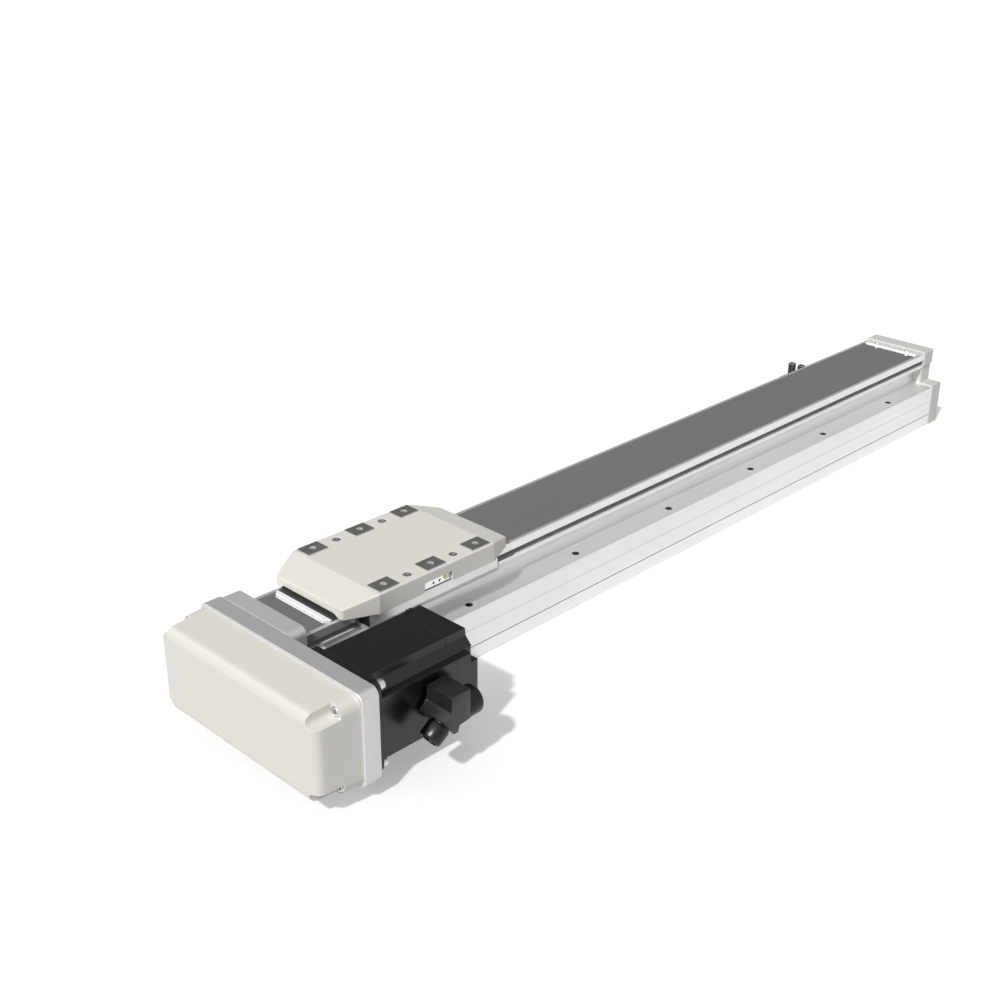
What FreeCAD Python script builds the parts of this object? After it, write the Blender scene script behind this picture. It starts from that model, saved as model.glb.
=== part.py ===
"""Linear axis with a ball screw that a side motor turns through a toothed belt.

Frame: X runs along the stroke from the belt cover to the end cap, Y points away
from the motor, Z is up.  The origin is on the underside of the base profile,
midway between the first pair of mounting holes.  All lengths are millimetres.
"""
import FreeCAD, Part
import math
import os
import re
import Sketcher

SIZES = {
    # mounting grid of the base profile
    "hole_pitch": 150.0, "hole_count": 7, "hole_row_inset": 11.5, "mount_hole_radius": 3.5,
    "first_margin": 40.0, "last_margin": 93.0,
    # section of the base profile
    "base_half": 60.0, "flange_top": 53.0, "neck_half": 29.0, "flare_radius": 10.0,
    "brim_half": 42.0, "brim_bottom": 75.6, "brim_top": 79.2,
    "channel_half": 25.0, "cavity_inset": 21.5, "cavity_top": 48.0, "floor_top": 14.0,
    "groove_level": 15.0, "groove_width": 1.2, "groove_depth": 2.0,
    "line_level": 33.8, "line_depth": 0.5,
    "chamber_inner": 5.0, "chamber_outer": 33.0, "chamber_bottom": 4.0, "chamber_top": 10.0,
    # top cover and its strip
    "cover_half": 42.25, "cover_bottom": 85.5, "cover_top": 94.0, "cover_wall": 2.75,
    "strip_half": 38.4, "strip_thickness": 1.0, "strip_side_gap": 0.1,
    "clamp_length": 15.2, "clamp_half": 36.8, "clamp_thickness": 1.6,
    "clamp_screw_row": 22.0,
    # bearing housing, end cap and their screws
    "housing_length": 18.0, "housing_inset": 11.0, "housing_top": 106.2, "housing_round": 7.0,
    "rim_length": 4.0, "rim_half": 43.0, "rim_top": 96.6,
    "cap_length": 21.0, "cap_hat_half": 43.3, "cap_hat_top": 96.8, "cap_neck_half": 41.4,
    "cap_step": 77.0, "cap_base_top": 54.4,
    "frame_screw_inset": 10.0, "frame_screw_low": 9.0, "frame_screw_high": 44.0,
    "frame_screw_reach": 14.0,
    # ball screw and bearings
    "screw_level": 61.5, "screw_radius": 8.0, "journal_radius": 6.0,
    "far_journal_radius": 5.0, "far_journal_length": 17.0,
    "bearing_radius": 16.0, "bearing_length": 14.0, "far_bearing_radius": 13.0,
    "far_bearing_length": 8.0, "running_gap": 0.03, "seat_gap": 0.03,
    "lock_nut_radius": 12.0, "lock_nut_length": 6.0,
    # guide rails and runner blocks
    "rail_row": 19.0, "rail_half": 7.5, "rail_height": 13.0, "rail_end_gap": 8.0,
    "runner_half": 17.0, "runner_bottom": 3.4, "runner_height": 24.0, "runner_length": 56.0,
    "runner_offset": 50.0, "runner_gap": 0.3,
    # drive plate and belt cover
    "plate_length": 18.0, "plate_right": 162.2, "plate_left": 52.8,
    "plate_bottom": 17.8, "plate_top": 106.2, "plate_round": 8.0,
    "plate_screw_low_row": 30.0, "plate_screw_low": 34.0,
    "plate_screw_high_row": 24.0, "plate_screw_high": 94.0,
    "belt_cover_depth": 45.0, "belt_cover_inset": 1.8, "belt_cover_round": 10.5,
    "belt_cover_fillet": 10.0, "belt_cover_draft": 2.5, "belt_cover_wall": 3.0,
    "cover_screw_inset": 9.0, "cover_screw_seat": 14.5, "cover_screw_hold": 7.0,
    "cover_notch_seat": 19.0,
    "notch_radius": 4.6, "notch_draft": 2.0, "notch_wall": 3.5,
    # belt drive
    "belt_pitch": 5.0, "pulley_teeth": 32, "belt_free_teeth": 45, "belt_width": 16.0,
    "belt_offset": 21.0, "belt_back": 1.6, "tooth_height": 1.2, "tooth_root": 2.65,
    "tooth_tip": 1.78, "tooth_gap": 0.12, "pitch_offset": 0.5,
    "pulley_rim": 1.5, "pulley_rim_radius": 28.0, "pulley_hub_radius": 13.0,
    "pulley_hub_length": 6.5, "pulley_side_gap": 0.6,
    # motor
    "motor_half": 43.0, "motor_round": 8.0, "motor_flange_length": 8.0,
    "motor_body_length": 82.5, "encoder_length": 23.6, "motor_seam": 0.4,
    "pilot_radius": 35.0, "pilot_length": 3.0, "motor_screw_offset": 36.6,
    "motor_screw_hold": 9.0, "motor_flat_half": 28.0, "motor_shaft_radius": 7.0, "rotor_depth": 40.0,
    # carriage
    "carriage_rest": 101.5, "travel_back": 25.0, "travel_ahead": 760.0,
    "carriage_top": 114.3, "carriage_half": 60.0, "shell_bottom": 95.3, "shell_wall": 2.3,
    "shell_flat_half": 70.0, "nose_half_length": 101.0, "nose_top": 105.3,
    "nose_inset": 14.0, "shell_edge": 1.6,
    "tunnel_top": 98.4, "tunnel_half": 35.0, "tunnel_foot_half": 41.5,
    "bridge_half_length": 80.0, "bridge_top": 112.0, "bridge_inset": 4.0, "bridge_step": 11.0,
    "bridge_side_gap": 1.0, "wing_bottom": 80.3, "wing_top": 84.4,
    "core_foot_gap": 1.5, "core_neck_half": 24.0, "core_foot_top": 46.8,
    "core_top": 89.0,
    "nut_radius": 17.0, "nut_length": 42.0, "nut_flange_radius": 23.0,
    "nut_flange_length": 9.0, "nut_bolt_circle": 19.9,
    "pad_pitch": 56.0, "pad_row_inset": 11.0, "pad_length": 23.0, "pad_width": 17.4,
    "pad_rise": 1.0, "pad_thread_radius": 4.0, "pad_gap": 0.3,
    "shell_screw_offset": 28.0, "window_half": 17.0, "window_top": 105.0,
    "wiper_half_length": 111.8, "wiper_half": 38.0, "wiper_thickness": 0.8,
    "wiper_gap": 0.3, "wiper_chamfer": 5.0, "wiper_tab": 4.0, "wiper_lip": 2.4,
    "wiper_lip_rise": 1.1,
    # buffers and sensors
    "buffer_row": 31.0, "buffer_level": 42.6, "buffer_radius": 3.8, "buffer_rest_gap": 2.0,
    "sensor_start": 826.0, "sensor_end": 880.0, "sensor_shelf": 76.0,
    "sensor_depth": 9.0, "sensor_post": 7.0,
}

DOC = FreeCAD.newDocument("linear_axis")
SHEET = DOC.addObject("Spreadsheet::Sheet", "Sizes")
for row, (alias, number) in enumerate(SIZES.items(), start=1):
    SHEET.set("A%d" % row, alias)
    SHEET.set("B%d" % row, str(number))
    SHEET.setAlias("B%d" % row, alias)
DOC.recompute()

# places that several pieces share, as formulas of the sizes
PROFILE_START = "-first_margin"
PROFILE_END = "((hole_count - 1) * hole_pitch + last_margin)"
PROFILE_LENGTH = "(%s - (%s))" % (PROFILE_END, PROFILE_START)
PLATE_BACK = "(-first_margin - housing_length)"
PLATE_FRONT = "(-first_margin - housing_length - plate_length)"
COVER_START = "(-first_margin + rim_length)"
CLAMP_START = "(%s - clamp_length)" % PROFILE_END
PITCH_RADIUS = "(pulley_teeth * belt_pitch / (2 * pi))"
MOTOR_ROW = "(belt_free_teeth * belt_pitch / 2)"
BELT_X = "(%s - belt_offset)" % PLATE_FRONT
HOLE_ROW = "(base_half - hole_row_inset)"
CAVITY_HALF = "(base_half - cavity_inset)"
HOUSING_HALF = "(base_half - housing_inset)"
FRAME_SCREW_ROW = "(base_half - frame_screw_inset)"
BRIDGE_HALF = "(carriage_half - bridge_inset)"
PAD_ROW = "(carriage_half - pad_row_inset)"
NOSE_HALF = "(carriage_half - nose_inset)"
PART_LABELS = []
COUNTER = {}


def formula(text):
    """Turn the names of sizes into references to the sheet."""
    return re.sub(r"[a-z]+(?:_[a-z]+)+", lambda m: "Sizes." + m.group(0), str(text))


def value(text):
    return float(SHEET.evalExpression(formula(text)))


def vec(x, y, z):
    return FreeCAD.Vector(value(x), value(y), value(z))


def fresh(name):
    """A unique internal name for a helper object."""
    COUNTER[name] = COUNTER.get(name, 0) + 1
    return "%s_%02d" % (name, COUNTER[name])


def bind(obj, **settings):
    for prop, text in settings.items():
        obj.setExpression(prop, formula(text))


def place(obj, x="0", y="0", z="0", rotation=None):
    if rotation is not None:
        obj.Placement = FreeCAD.Placement(FreeCAD.Vector(0, 0, 0), rotation)
    for axis, text in (("x", x), ("y", y), ("z", z)):
        obj.setExpression(".Placement.Base." + axis, formula(text))
    return obj


def turn(axis, degrees):
    return FreeCAD.Rotation(FreeCAD.Vector(*axis), degrees)


ALONG_X = turn((0, 1, 0), 90)
BACK_X = turn((0, 1, 0), -90)
ALONG_Y = turn((1, 0, 0), -90)


def box(size, corner, rotation=None):
    obj = DOC.addObject("Part::Box", fresh("block"))
    bind(obj, Length=size[0], Width=size[1], Height=size[2])
    return place(obj, *corner, rotation=rotation)


def rod(radius, length, start, rotation=ALONG_X):
    obj = DOC.addObject("Part::Cylinder", fresh("rod"))
    bind(obj, Radius=radius, Height=length)
    return place(obj, *start, rotation=rotation)


def cone(radius_one, radius_two, length, start, rotation=None):
    obj = DOC.addObject("Part::Cone", fresh("cone"))
    bind(obj, Radius1=radius_one, Radius2=radius_two, Height=length)
    return place(obj, *start, rotation=rotation)


def hexagon(radius, length, start, rotation=None):
    obj = DOC.addObject("Part::Prism", fresh("hexagon"))
    obj.Polygon = 6
    bind(obj, Circumradius=radius, Height=length)
    return place(obj, *start, rotation=rotation)


def join(pieces, name="join"):
    obj = DOC.addObject("Part::MultiFuse", fresh(name))
    obj.Shapes = pieces
    return obj


def cut(base, tools, name="cut"):
    obj = DOC.addObject("Part::Cut", fresh(name))
    obj.Base = base
    obj.Tool = tools[0] if len(tools) == 1 else join(tools)
    return obj


def keep(obj, label):
    """Name an object as one of the finished pieces."""
    obj.Label = label
    PART_LABELS.append(label)
    return obj


def corner_points(corners):
    return [(value(c[0]), value(c[1]), value(c[2]) if len(c) > 2 else 0.0) for c in corners]


def draw_outline(sketch, corners):
    """Draw a closed outline through corners, each (x, y) or (x, y, radius).

    Every corner is fixed by two formulas.  A corner with a radius becomes an arc
    that is tangent to its two neighbours.
    """
    points = corner_points(corners)
    total = len(points)
    ends = []
    for i, (x, y, r) in enumerate(points):
        here = FreeCAD.Vector(x, y, 0)
        before = FreeCAD.Vector(points[i - 1][0], points[i - 1][1], 0) - here
        after = FreeCAD.Vector(points[(i + 1) % total][0], points[(i + 1) % total][1], 0) - here
        if r == 0:
            ends.append((here, here, None))
            continue
        before.normalize()
        after.normalize()
        half = before.getAngle(after) / 2
        reach = r / math.tan(half)
        middle = before + after
        middle.normalize()
        centre = here + middle * (r / math.sin(half))
        ends.append((here + before * reach, here + after * reach, (centre, r, before, after)))
    lines = []
    for i in range(total):
        start, finish = ends[i][1], ends[(i + 1) % total][0]
        lines.append(sketch.addGeometry(Part.LineSegment(start, finish), False))
    rules = []
    for i, corner in enumerate(corners):
        into, out = lines[i - 1], lines[i]
        if ends[i][2] is None:
            sketch.addConstraint(Sketcher.Constraint("Coincident", into, 2, out, 1))
            anchor = (out, 1)
        else:
            centre, r, before, after = ends[i][2]
            first = (ends[i][0] - centre)
            second = (ends[i][1] - centre)
            start = math.atan2(first.y, first.x)
            finish = math.atan2(second.y, second.x)
            turns_left = (first.x * second.y - first.y * second.x) > 0
            low, high = (start, finish) if turns_left else (finish, start)
            circle = Part.Circle(centre, FreeCAD.Vector(0, 0, 1), r)
            arc = sketch.addGeometry(Part.ArcOfCircle(circle, low, high), False)
            sketch.addConstraint(Sketcher.Constraint("Tangent", into, 2, arc, 1 if turns_left else 2))
            sketch.addConstraint(Sketcher.Constraint("Tangent", arc, 2 if turns_left else 1, out, 1))
            round_rule = sketch.addConstraint(Sketcher.Constraint("Radius", arc, r))
            rules.append((round_rule, corner[2]))
            point = sketch.addGeometry(Part.Point(FreeCAD.Vector(points[i][0], points[i][1], 0)), True)
            sketch.addConstraint(Sketcher.Constraint("PointOnObject", point, 1, into))
            sketch.addConstraint(Sketcher.Constraint("PointOnObject", point, 1, out))
            anchor = (point, 1)
        rules.append((sketch.addConstraint(
            Sketcher.Constraint("DistanceX", -1, 1, anchor[0], anchor[1], points[i][0])), corner[0]))
        rules.append((sketch.addConstraint(
            Sketcher.Constraint("DistanceY", -1, 1, anchor[0], anchor[1], points[i][1])), corner[1]))
    for index, text in rules:
        sketch.setExpression("Constraints[%d]" % index, formula(text))


def draw_circle(sketch, x, y, radius):
    circle = Part.Circle(FreeCAD.Vector(value(x), value(y), 0), FreeCAD.Vector(0, 0, 1), value(radius))
    index = sketch.addGeometry(circle, False)
    for kind, text in (("DistanceX", x), ("DistanceY", y)):
        rule = sketch.addConstraint(Sketcher.Constraint(kind, -1, 1, index, 3, value(text)))
        sketch.setExpression("Constraints[%d]" % rule, formula(text))
    rule = sketch.addConstraint(Sketcher.Constraint("Radius", index, value(radius)))
    sketch.setExpression("Constraints[%d]" % rule, formula(radius))


def new_body(name):
    return DOC.addObject("PartDesign::Body", fresh(name))


def sketch_on(body, plane, outlines=(), circles=(), offset="0"):
    """A sketch on one of the body's own planes, at an offset along its normal."""
    sketch = body.newObject("Sketcher::SketchObject", fresh("sketch"))
    support = [f for f in body.Origin.OriginFeatures if f.Role == plane + "_Plane"][0]
    sketch.AttachmentSupport = [(support, "")]
    sketch.MapMode = "FlatFace"
    sketch.setExpression(".AttachmentOffset.Base.z", formula(offset))
    for corners in outlines:
        draw_outline(sketch, corners)
    for circle in circles:
        draw_circle(sketch, *circle)
    return sketch


def pad(body, sketch, length, backward=False, draft=None):
    feature = body.newObject("PartDesign::Pad", fresh("pad"))
    feature.Profile = sketch
    feature.Reversed = backward
    bind(feature, Length=length)
    if draft is not None:
        bind(feature, TaperAngle=draft)
    DOC.recompute()
    return feature


def pocket(body, sketch, length, backward=False):
    """Cut along the sketch normal, or against it when backward is set."""
    before = body.Shape.Volume
    feature = body.newObject("PartDesign::Pocket", fresh("pocket"))
    feature.Profile = sketch
    feature.Reversed = not backward
    bind(feature, Length=length)
    DOC.recompute()
    if body.Shape.Volume > before - 0.01:
        raise RuntimeError("a pocket cut nothing in " + body.Label)
    return feature


def slanted(outline):
    """Replace each corner that has a third value by a slanted edge of that size."""
    result = []
    for i, corner in enumerate(outline):
        if len(corner) < 3:
            result.append(corner)
            continue
        for other in (outline[i - 1], outline[(i + 1) % len(outline)]):
            steps = [value(other[k]) - value(corner[k]) for k in (0, 1)]
            moved = list(corner[:2])
            k = 0 if abs(steps[0]) > abs(steps[1]) else 1
            moved[k] = "%s %s (%s)" % (corner[k], "+" if steps[k] > 0 else "-", corner[2])
            result.append(tuple(moved))
    return result


def revolve(name, outline, start=("0", "0", "0"), rotation=ALONG_X):
    """Turn an outline of (radius, length) corners about the length axis."""
    body = new_body(name)
    sketch = sketch_on(body, "XZ", [slanted(outline)])
    feature = body.newObject("PartDesign::Revolution", fresh("revolution"))
    feature.Profile = sketch
    feature.ReferenceAxis = (sketch, ["V_Axis"])
    feature.Angle = 360
    place(body, *start, rotation=rotation)
    DOC.recompute()
    return body


def edges_where(shape, test):
    """Names of the edges whose two ends and middle pass a test."""
    names = []
    for number, edge in enumerate(shape.Edges, start=1):
        ends = [v.Point for v in edge.Vertexes]
        middle = edge.valueAt((edge.FirstParameter + edge.LastParameter) / 2)
        if test(ends, middle):
            names.append("Edge%d" % number)
    return names


def dress(body, kind, prop, size, test):
    """Fillet or chamfer the edges of the body that pass a test."""
    tip = body.Tip
    names = edges_where(tip.Shape, test)
    if not names:
        raise RuntimeError("no edge to dress in " + body.Label)
    feature = body.newObject("PartDesign::" + kind, fresh(kind.lower()))
    feature.Base = (tip, names)
    bind(feature, **{prop: size})
    DOC.recompute()
    return feature


def mirrored(half):
    """Complete an outline given for +Y, from its foot to its top, to both sides."""
    other = [("-(%s)" % c[0],) + tuple(c[1:]) for c in reversed(half)]
    return list(half) + other


def rectangle(x_low, y_low, x_high, y_high, radius=None):
    tail = () if radius is None else (radius,)
    corners = [(x_low, y_low), (x_high, y_low), (x_high, y_high), (x_low, y_high)]
    return [c + tail for c in corners]


def screws(label, places, head_radius, head_length, shank_radius, shank_length, rotation):
    """Socket head screws; each place is the seat under a head, which looks along its turn."""
    solids = []
    sockets = []
    push = rotation.multVec(FreeCAD.Vector(0, 0, 1))

    def along(spot, text):
        moved = []
        for number, base in enumerate(spot):
            step = round(push[number])
            moved.append(base if step == 0 else "(%s) + (%d) * (%s)" % (base, step, text))
        return moved

    for spot in places:
        solids.append(rod(head_radius, head_length, spot, rotation))
        solids.append(rod(shank_radius, shank_length, along(spot, "-(%s)" % shank_length), rotation))
        sockets.append(hexagon("%s * 0.55" % head_radius, "%s * 0.6" % head_length,
                               along(spot, "%s * 0.5" % head_length), rotation))
    return keep(cut(join(solids), sockets), label)


def make_base_profile():
    body = new_body("base_profile")
    low, high = "groove_level - groove_width / 2", "groove_level + groove_width / 2"
    half = [
        ("base_half", "0", "0.8"),
        ("base_half", low), ("base_half - groove_depth", low),
        ("base_half - groove_depth", high), ("base_half", high),
        ("base_half", "line_level - line_depth"), ("base_half - line_depth", "line_level"),
        ("base_half", "line_level + line_depth"),
        ("base_half", "flange_top", "0.6"),
        ("neck_half", "flange_top", "flare_radius"),
        ("neck_half", "brim_bottom", "2"),
        ("brim_half", "brim_bottom"), ("brim_half", "brim_top"),
        ("channel_half", "brim_top"), ("channel_half", "cavity_top"),
        (CAVITY_HALF, "cavity_top"), (CAVITY_HALF, "floor_top", "2"),
    ]
    chamber_right = rectangle("chamber_inner", "chamber_bottom", "chamber_outer", "chamber_top")
    chamber_left = rectangle("-chamber_outer", "chamber_bottom", "-chamber_inner", "chamber_top")
    section = sketch_on(body, "YZ", [mirrored(half), chamber_right, chamber_left],
                        offset=PROFILE_START)
    pad(body, section, PROFILE_LENGTH)
    pair = sketch_on(body, "XY", circles=[
        ("0", HOLE_ROW, "mount_hole_radius"), ("0", "-" + HOLE_ROW, "mount_hole_radius")])
    first = pocket(body, pair, "flange_top")
    row = body.newObject("PartDesign::LinearPattern", fresh("hole_rows"))
    row.Originals = [first]
    row.Direction = ([f for f in body.Origin.OriginFeatures if f.Role == "X_Axis"][0], [""])
    bind(row, Length="(hole_count - 1) * hole_pitch", Occurrences="hole_count")
    body.Tip = row
    DOC.recompute()
    holes = []
    for end, rotation in ((PROFILE_START, ALONG_X), (PROFILE_END, BACK_X)):
        for side in ("", "-"):
            for level in ("frame_screw_low", "frame_screw_high"):
                holes.append(rod("3.1", "frame_screw_reach",
                                 (end, side + FRAME_SCREW_ROW, level), rotation))
    keep(cut(body, holes), "base_profile")


def make_top_cover():
    body = new_body("top_cover")
    seat = "cover_top - strip_thickness"
    wall = "cover_half - cover_wall"
    half = [
        (wall, "cover_bottom"), ("cover_half", "cover_bottom", "0.4"),
        ("cover_half", "cover_top", "0.4"),
        ("strip_half + strip_side_gap", "cover_top"), ("strip_half + strip_side_gap", seat),
    ]
    outline = mirrored(half) + [("-(%s)" % wall, "cover_bottom"), ("-(%s)" % wall, "%s - 2.5" % seat, "1"),
                                (wall, "%s - 2.5" % seat, "1")]
    del outline[2 * len(half) - 1]
    section = sketch_on(body, "YZ", [outline], offset=COVER_START)
    pad(body, section, "%s - %s" % (PROFILE_END, COVER_START))
    x = "%s + 4" % CLAMP_START
    holes = [rod("1.55", "6", (x, side + "clamp_screw_row", "cover_top - 5"), turn((0, 0, 1), 0))
             for side in ("", "-")]
    keep(cut(body, holes), "top_cover")
    strip = box(("%s - 2 - (%s)" % (PROFILE_END, COVER_START), "2 * strip_half", "strip_thickness"),
                (COVER_START, "-strip_half", "cover_top - strip_thickness"))
    holes = [rod("1.55", "3", (x, side + "clamp_screw_row", "cover_top - 2"), turn((0, 0, 1), 0))
             for side in ("", "-")]
    keep(cut(strip, holes), "cover_strip")
    clamp = new_body("strip_clamp")
    outline = [(CLAMP_START, "cover_top"), (PROFILE_END, "cover_top"),
               (PROFILE_END, "cover_top + clamp_thickness"),
               ("%s + 1" % CLAMP_START, "cover_top + clamp_thickness")]
    pad(clamp, sketch_on(clamp, "XZ", [outline], offset="-clamp_half"), "2 * clamp_half")
    holes = [rod("1.55", "4", (x, side + "clamp_screw_row", "cover_top - 1"), turn((0, 0, 1), 0))
             for side in ("", "-")]
    keep(cut(clamp, holes), "strip_clamp")
    seats = [(x, side + "clamp_screw_row", "cover_top + clamp_thickness") for side in ("", "-")]
    screws("strip_clamp_screws", seats, "2.9", "2.4", "1.5", "6", turn((0, 0, 1), 0))


def make_guide_rails():
    for name, side in (("guide_rail_left", ""), ("guide_rail_right", "-")):
        body = new_body(name)
        half = [("rail_half", "0"), ("rail_half", "rail_height * 0.3"),
                ("rail_half - 1.6", "rail_height * 0.42"), ("rail_half - 1.6", "rail_height * 0.62"),
                ("rail_half", "rail_height * 0.74"), ("rail_half", "rail_height", "0.6")]
        section = sketch_on(body, "YZ", [mirrored(half)], offset="0")
        pad(body, section, "%s - 2 * rail_end_gap" % PROFILE_LENGTH)
        place(body, "%s + rail_end_gap" % PROFILE_START, side + "rail_row", "floor_top")
        DOC.recompute()
        keep(body, name)


def make_runner_blocks():
    spots = [("-", ""), ("-", "-"), ("", ""), ("", "-")]
    for number, (end, side) in enumerate(spots, start=1):
        name = "runner_block_%d" % number
        body = new_body(name)
        gap = "runner_gap"
        bottom = "runner_bottom"
        inner = [("rail_half + %s" % gap, bottom),
                 ("rail_half + %s" % gap, "rail_height * 0.3 - 0.1"),
                 ("rail_half - 1.6 + %s" % gap, "rail_height * 0.42 + 0.1"),
                 ("rail_half - 1.6 + %s" % gap, "rail_height * 0.62 - 0.1"),
                 ("rail_half + %s" % gap, "rail_height * 0.74 + 0.1"),
                 ("rail_half + %s" % gap, "rail_height + 0.4")]
        outer = [("runner_half", bottom), ("runner_half", "runner_height * 0.62", "1"),
                 ("runner_half - 3", "runner_height * 0.75"), ("runner_half - 3", "runner_height")]
        outline = mirrored(outer) + [("-(%s)" % x, z) for x, z in inner] + list(reversed(inner))
        section = sketch_on(body, "YZ", [outline], offset="-runner_length / 2")
        pad(body, section, "runner_length")
        place(body, "carriage_rest + (%s1) * runner_offset" % end, side + "rail_row", "floor_top")
        DOC.recompute()
        keep(body, name)


def frame_holes(start, radius, length, rotation):
    return [rod(radius, length, (start, side + FRAME_SCREW_ROW, level), rotation)
            for side in ("", "-") for level in ("frame_screw_low", "frame_screw_high")]


def plate_screw_spots(x):
    rows = (("plate_screw_low_row", "plate_screw_low"), ("plate_screw_high_row", "plate_screw_high"))
    return [(x, side + row, level) for side in ("", "-") for row, level in rows]


def make_bearing_housing():
    body = new_body("bearing_housing")
    half = [("base_half", "0", "0.8"), ("base_half", "flange_top", "2"),
            (HOUSING_HALF, "flange_top", "3"), (HOUSING_HALF, "housing_top", "housing_round")]
    pad(body, sketch_on(body, "YZ", [mirrored(half)], offset=PLATE_BACK), "housing_length")
    rim = sketch_on(body, "YZ", [[("rim_half", "cover_bottom"), ("rim_half", "rim_top", "3"),
                                  ("-rim_half", "rim_top", "3"), ("-rim_half", "cover_bottom")]],
                    offset="%s - 2" % PROFILE_START)
    pad(body, rim, "rim_length + 2")
    tools = [rod("bearing_radius + seat_gap", "bearing_length", (PLATE_BACK, "0", "screw_level")),
             rod("bearing_radius - 4", "housing_length", (PLATE_BACK, "0", "screw_level"))]
    tools += frame_holes(PLATE_BACK, "3.1", "housing_length", ALONG_X)
    tools += frame_holes(PLATE_BACK, "5.2", "6.2", ALONG_X)
    tools += [rod("3.05", "14", spot) for spot in plate_screw_spots(PLATE_BACK)]
    keep(cut(body, tools), "bearing_housing")
    seats = [("%s + 6.2" % PLATE_BACK, side + FRAME_SCREW_ROW, level)
             for side in ("", "-") for level in ("frame_screw_low", "frame_screw_high")]
    screws("housing_screws", seats, "5", "6", "3",
           "housing_length - 6.2 + frame_screw_reach - 2", BACK_X)


def make_end_cap():
    body = new_body("end_cap")
    half = [("base_half", "0", "0.8"), ("base_half", "cap_base_top", "0.8"),
            ("cap_neck_half", "cap_base_top", "1"), ("cap_neck_half", "cap_step"),
            ("cap_hat_half", "cap_step + 1"), ("cap_hat_half", "cap_hat_top", "1.5")]
    pad(body, sketch_on(body, "YZ", [mirrored(half)], offset=PROFILE_END), "cap_length")
    outer = "%s + cap_length" % PROFILE_END
    tools = [rod("far_bearing_radius + seat_gap", "far_bearing_length", (PROFILE_END, "0", "screw_level")),
             rod("far_bearing_radius - 3", "far_bearing_length + 4", (PROFILE_END, "0", "screw_level"))]
    tools += frame_holes(PROFILE_END, "3.1", "cap_length", ALONG_X)
    tools += frame_holes(outer, "5.2", "6.4", BACK_X)
    keep(cut(body, tools), "end_cap")
    seats = [("%s - 6.4" % outer, side + FRAME_SCREW_ROW, level)
             for side in ("", "-") for level in ("frame_screw_low", "frame_screw_high")]
    screws("end_cap_screws", seats, "5", "6", "3",
           "cap_length - 6.4 + frame_screw_reach - 2", ALONG_X)


def make_bearings():
    spots = [("fixed_bearing", "bearing_radius", "journal_radius", "bearing_length", PLATE_BACK),
             ("far_bearing", "far_bearing_radius", "far_journal_radius", "far_bearing_length",
              PROFILE_END)]
    for name, outer, inner, length, start in spots:
        ring = revolve(name, [("%s + running_gap" % inner, "0"), (outer, "0", "0.6"),
                              (outer, length, "0.6"), ("%s + running_gap" % inner, length)],
                       (start, "0", "screw_level"))
        keep(ring, name)


def make_buffers():
    """Rubber stops that the foot of the carriage core meets at either end."""
    near = "carriage_rest - travel_back - bridge_half_length - buffer_rest_gap - (%s)" % PROFILE_START
    far = "%s - (carriage_rest + travel_ahead + bridge_half_length + buffer_rest_gap)" % PROFILE_END
    for name, start, length, rotation in (("drive_end_buffers", PROFILE_START, near, ALONG_X),
                                          ("far_end_buffers", PROFILE_END, far, BACK_X)):
        pair = [rod("buffer_radius", length, (start, side + "buffer_row", "buffer_level"), rotation)
                for side in ("", "-")]
        keep(join(pair), name)


def cover_screw_spots(x):
    right = "-(plate_right - cover_screw_inset)"
    left = "plate_left - cover_screw_inset"
    return [(x, y, z) for y in (right, left)
            for z in ("plate_bottom + cover_screw_inset", "plate_top - cover_screw_inset")]


def motor_screw_spots(x):
    return [(x, "-(%s) + (%s1) * motor_screw_offset" % (MOTOR_ROW, a),
             "screw_level + (%s1) * motor_screw_offset" % b) for a in ("", "-") for b in ("", "-")]


def make_drive_plate():
    body = new_body("drive_plate")
    outline = rectangle("-plate_right", "plate_bottom", "plate_left", "plate_top", "plate_round")
    pad(body, sketch_on(body, "YZ", [outline], offset=PLATE_FRONT), "plate_length")
    front, back = value(PLATE_FRONT), value(PLATE_BACK)
    dress(body, "Chamfer", "Size", "0.6", lambda ends, mid: abs(mid.x - front) < 0.01
          or abs(mid.x - back) < 0.01)
    tools = [rod("15", "plate_length", (PLATE_FRONT, "0", "screw_level")),
             rod("pilot_radius + 0.05", "pilot_length + 1",
                 (PLATE_BACK, "-(%s)" % MOTOR_ROW, "screw_level"), BACK_X),
             rod("15", "plate_length", (PLATE_FRONT, "-(%s)" % MOTOR_ROW, "screw_level"))]
    tools += [rod("3.1", "plate_length", spot) for spot in plate_screw_spots(PLATE_FRONT)]
    tools += [rod("5.2", "6.2", spot) for spot in plate_screw_spots(PLATE_FRONT)]
    tools += [rod("2.55", "cover_screw_hold + 0.6", spot) for spot in cover_screw_spots(PLATE_FRONT)]
    tools += [rod("3.05", "motor_screw_hold + 0.6", spot, BACK_X) for spot in motor_screw_spots(PLATE_BACK)]
    keep(cut(body, tools), "drive_plate")
    screws("drive_plate_screws", plate_screw_spots("%s + 6.2" % PLATE_FRONT), "5", "6", "3",
           "plate_length - 6.2 + 12", BACK_X)


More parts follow.
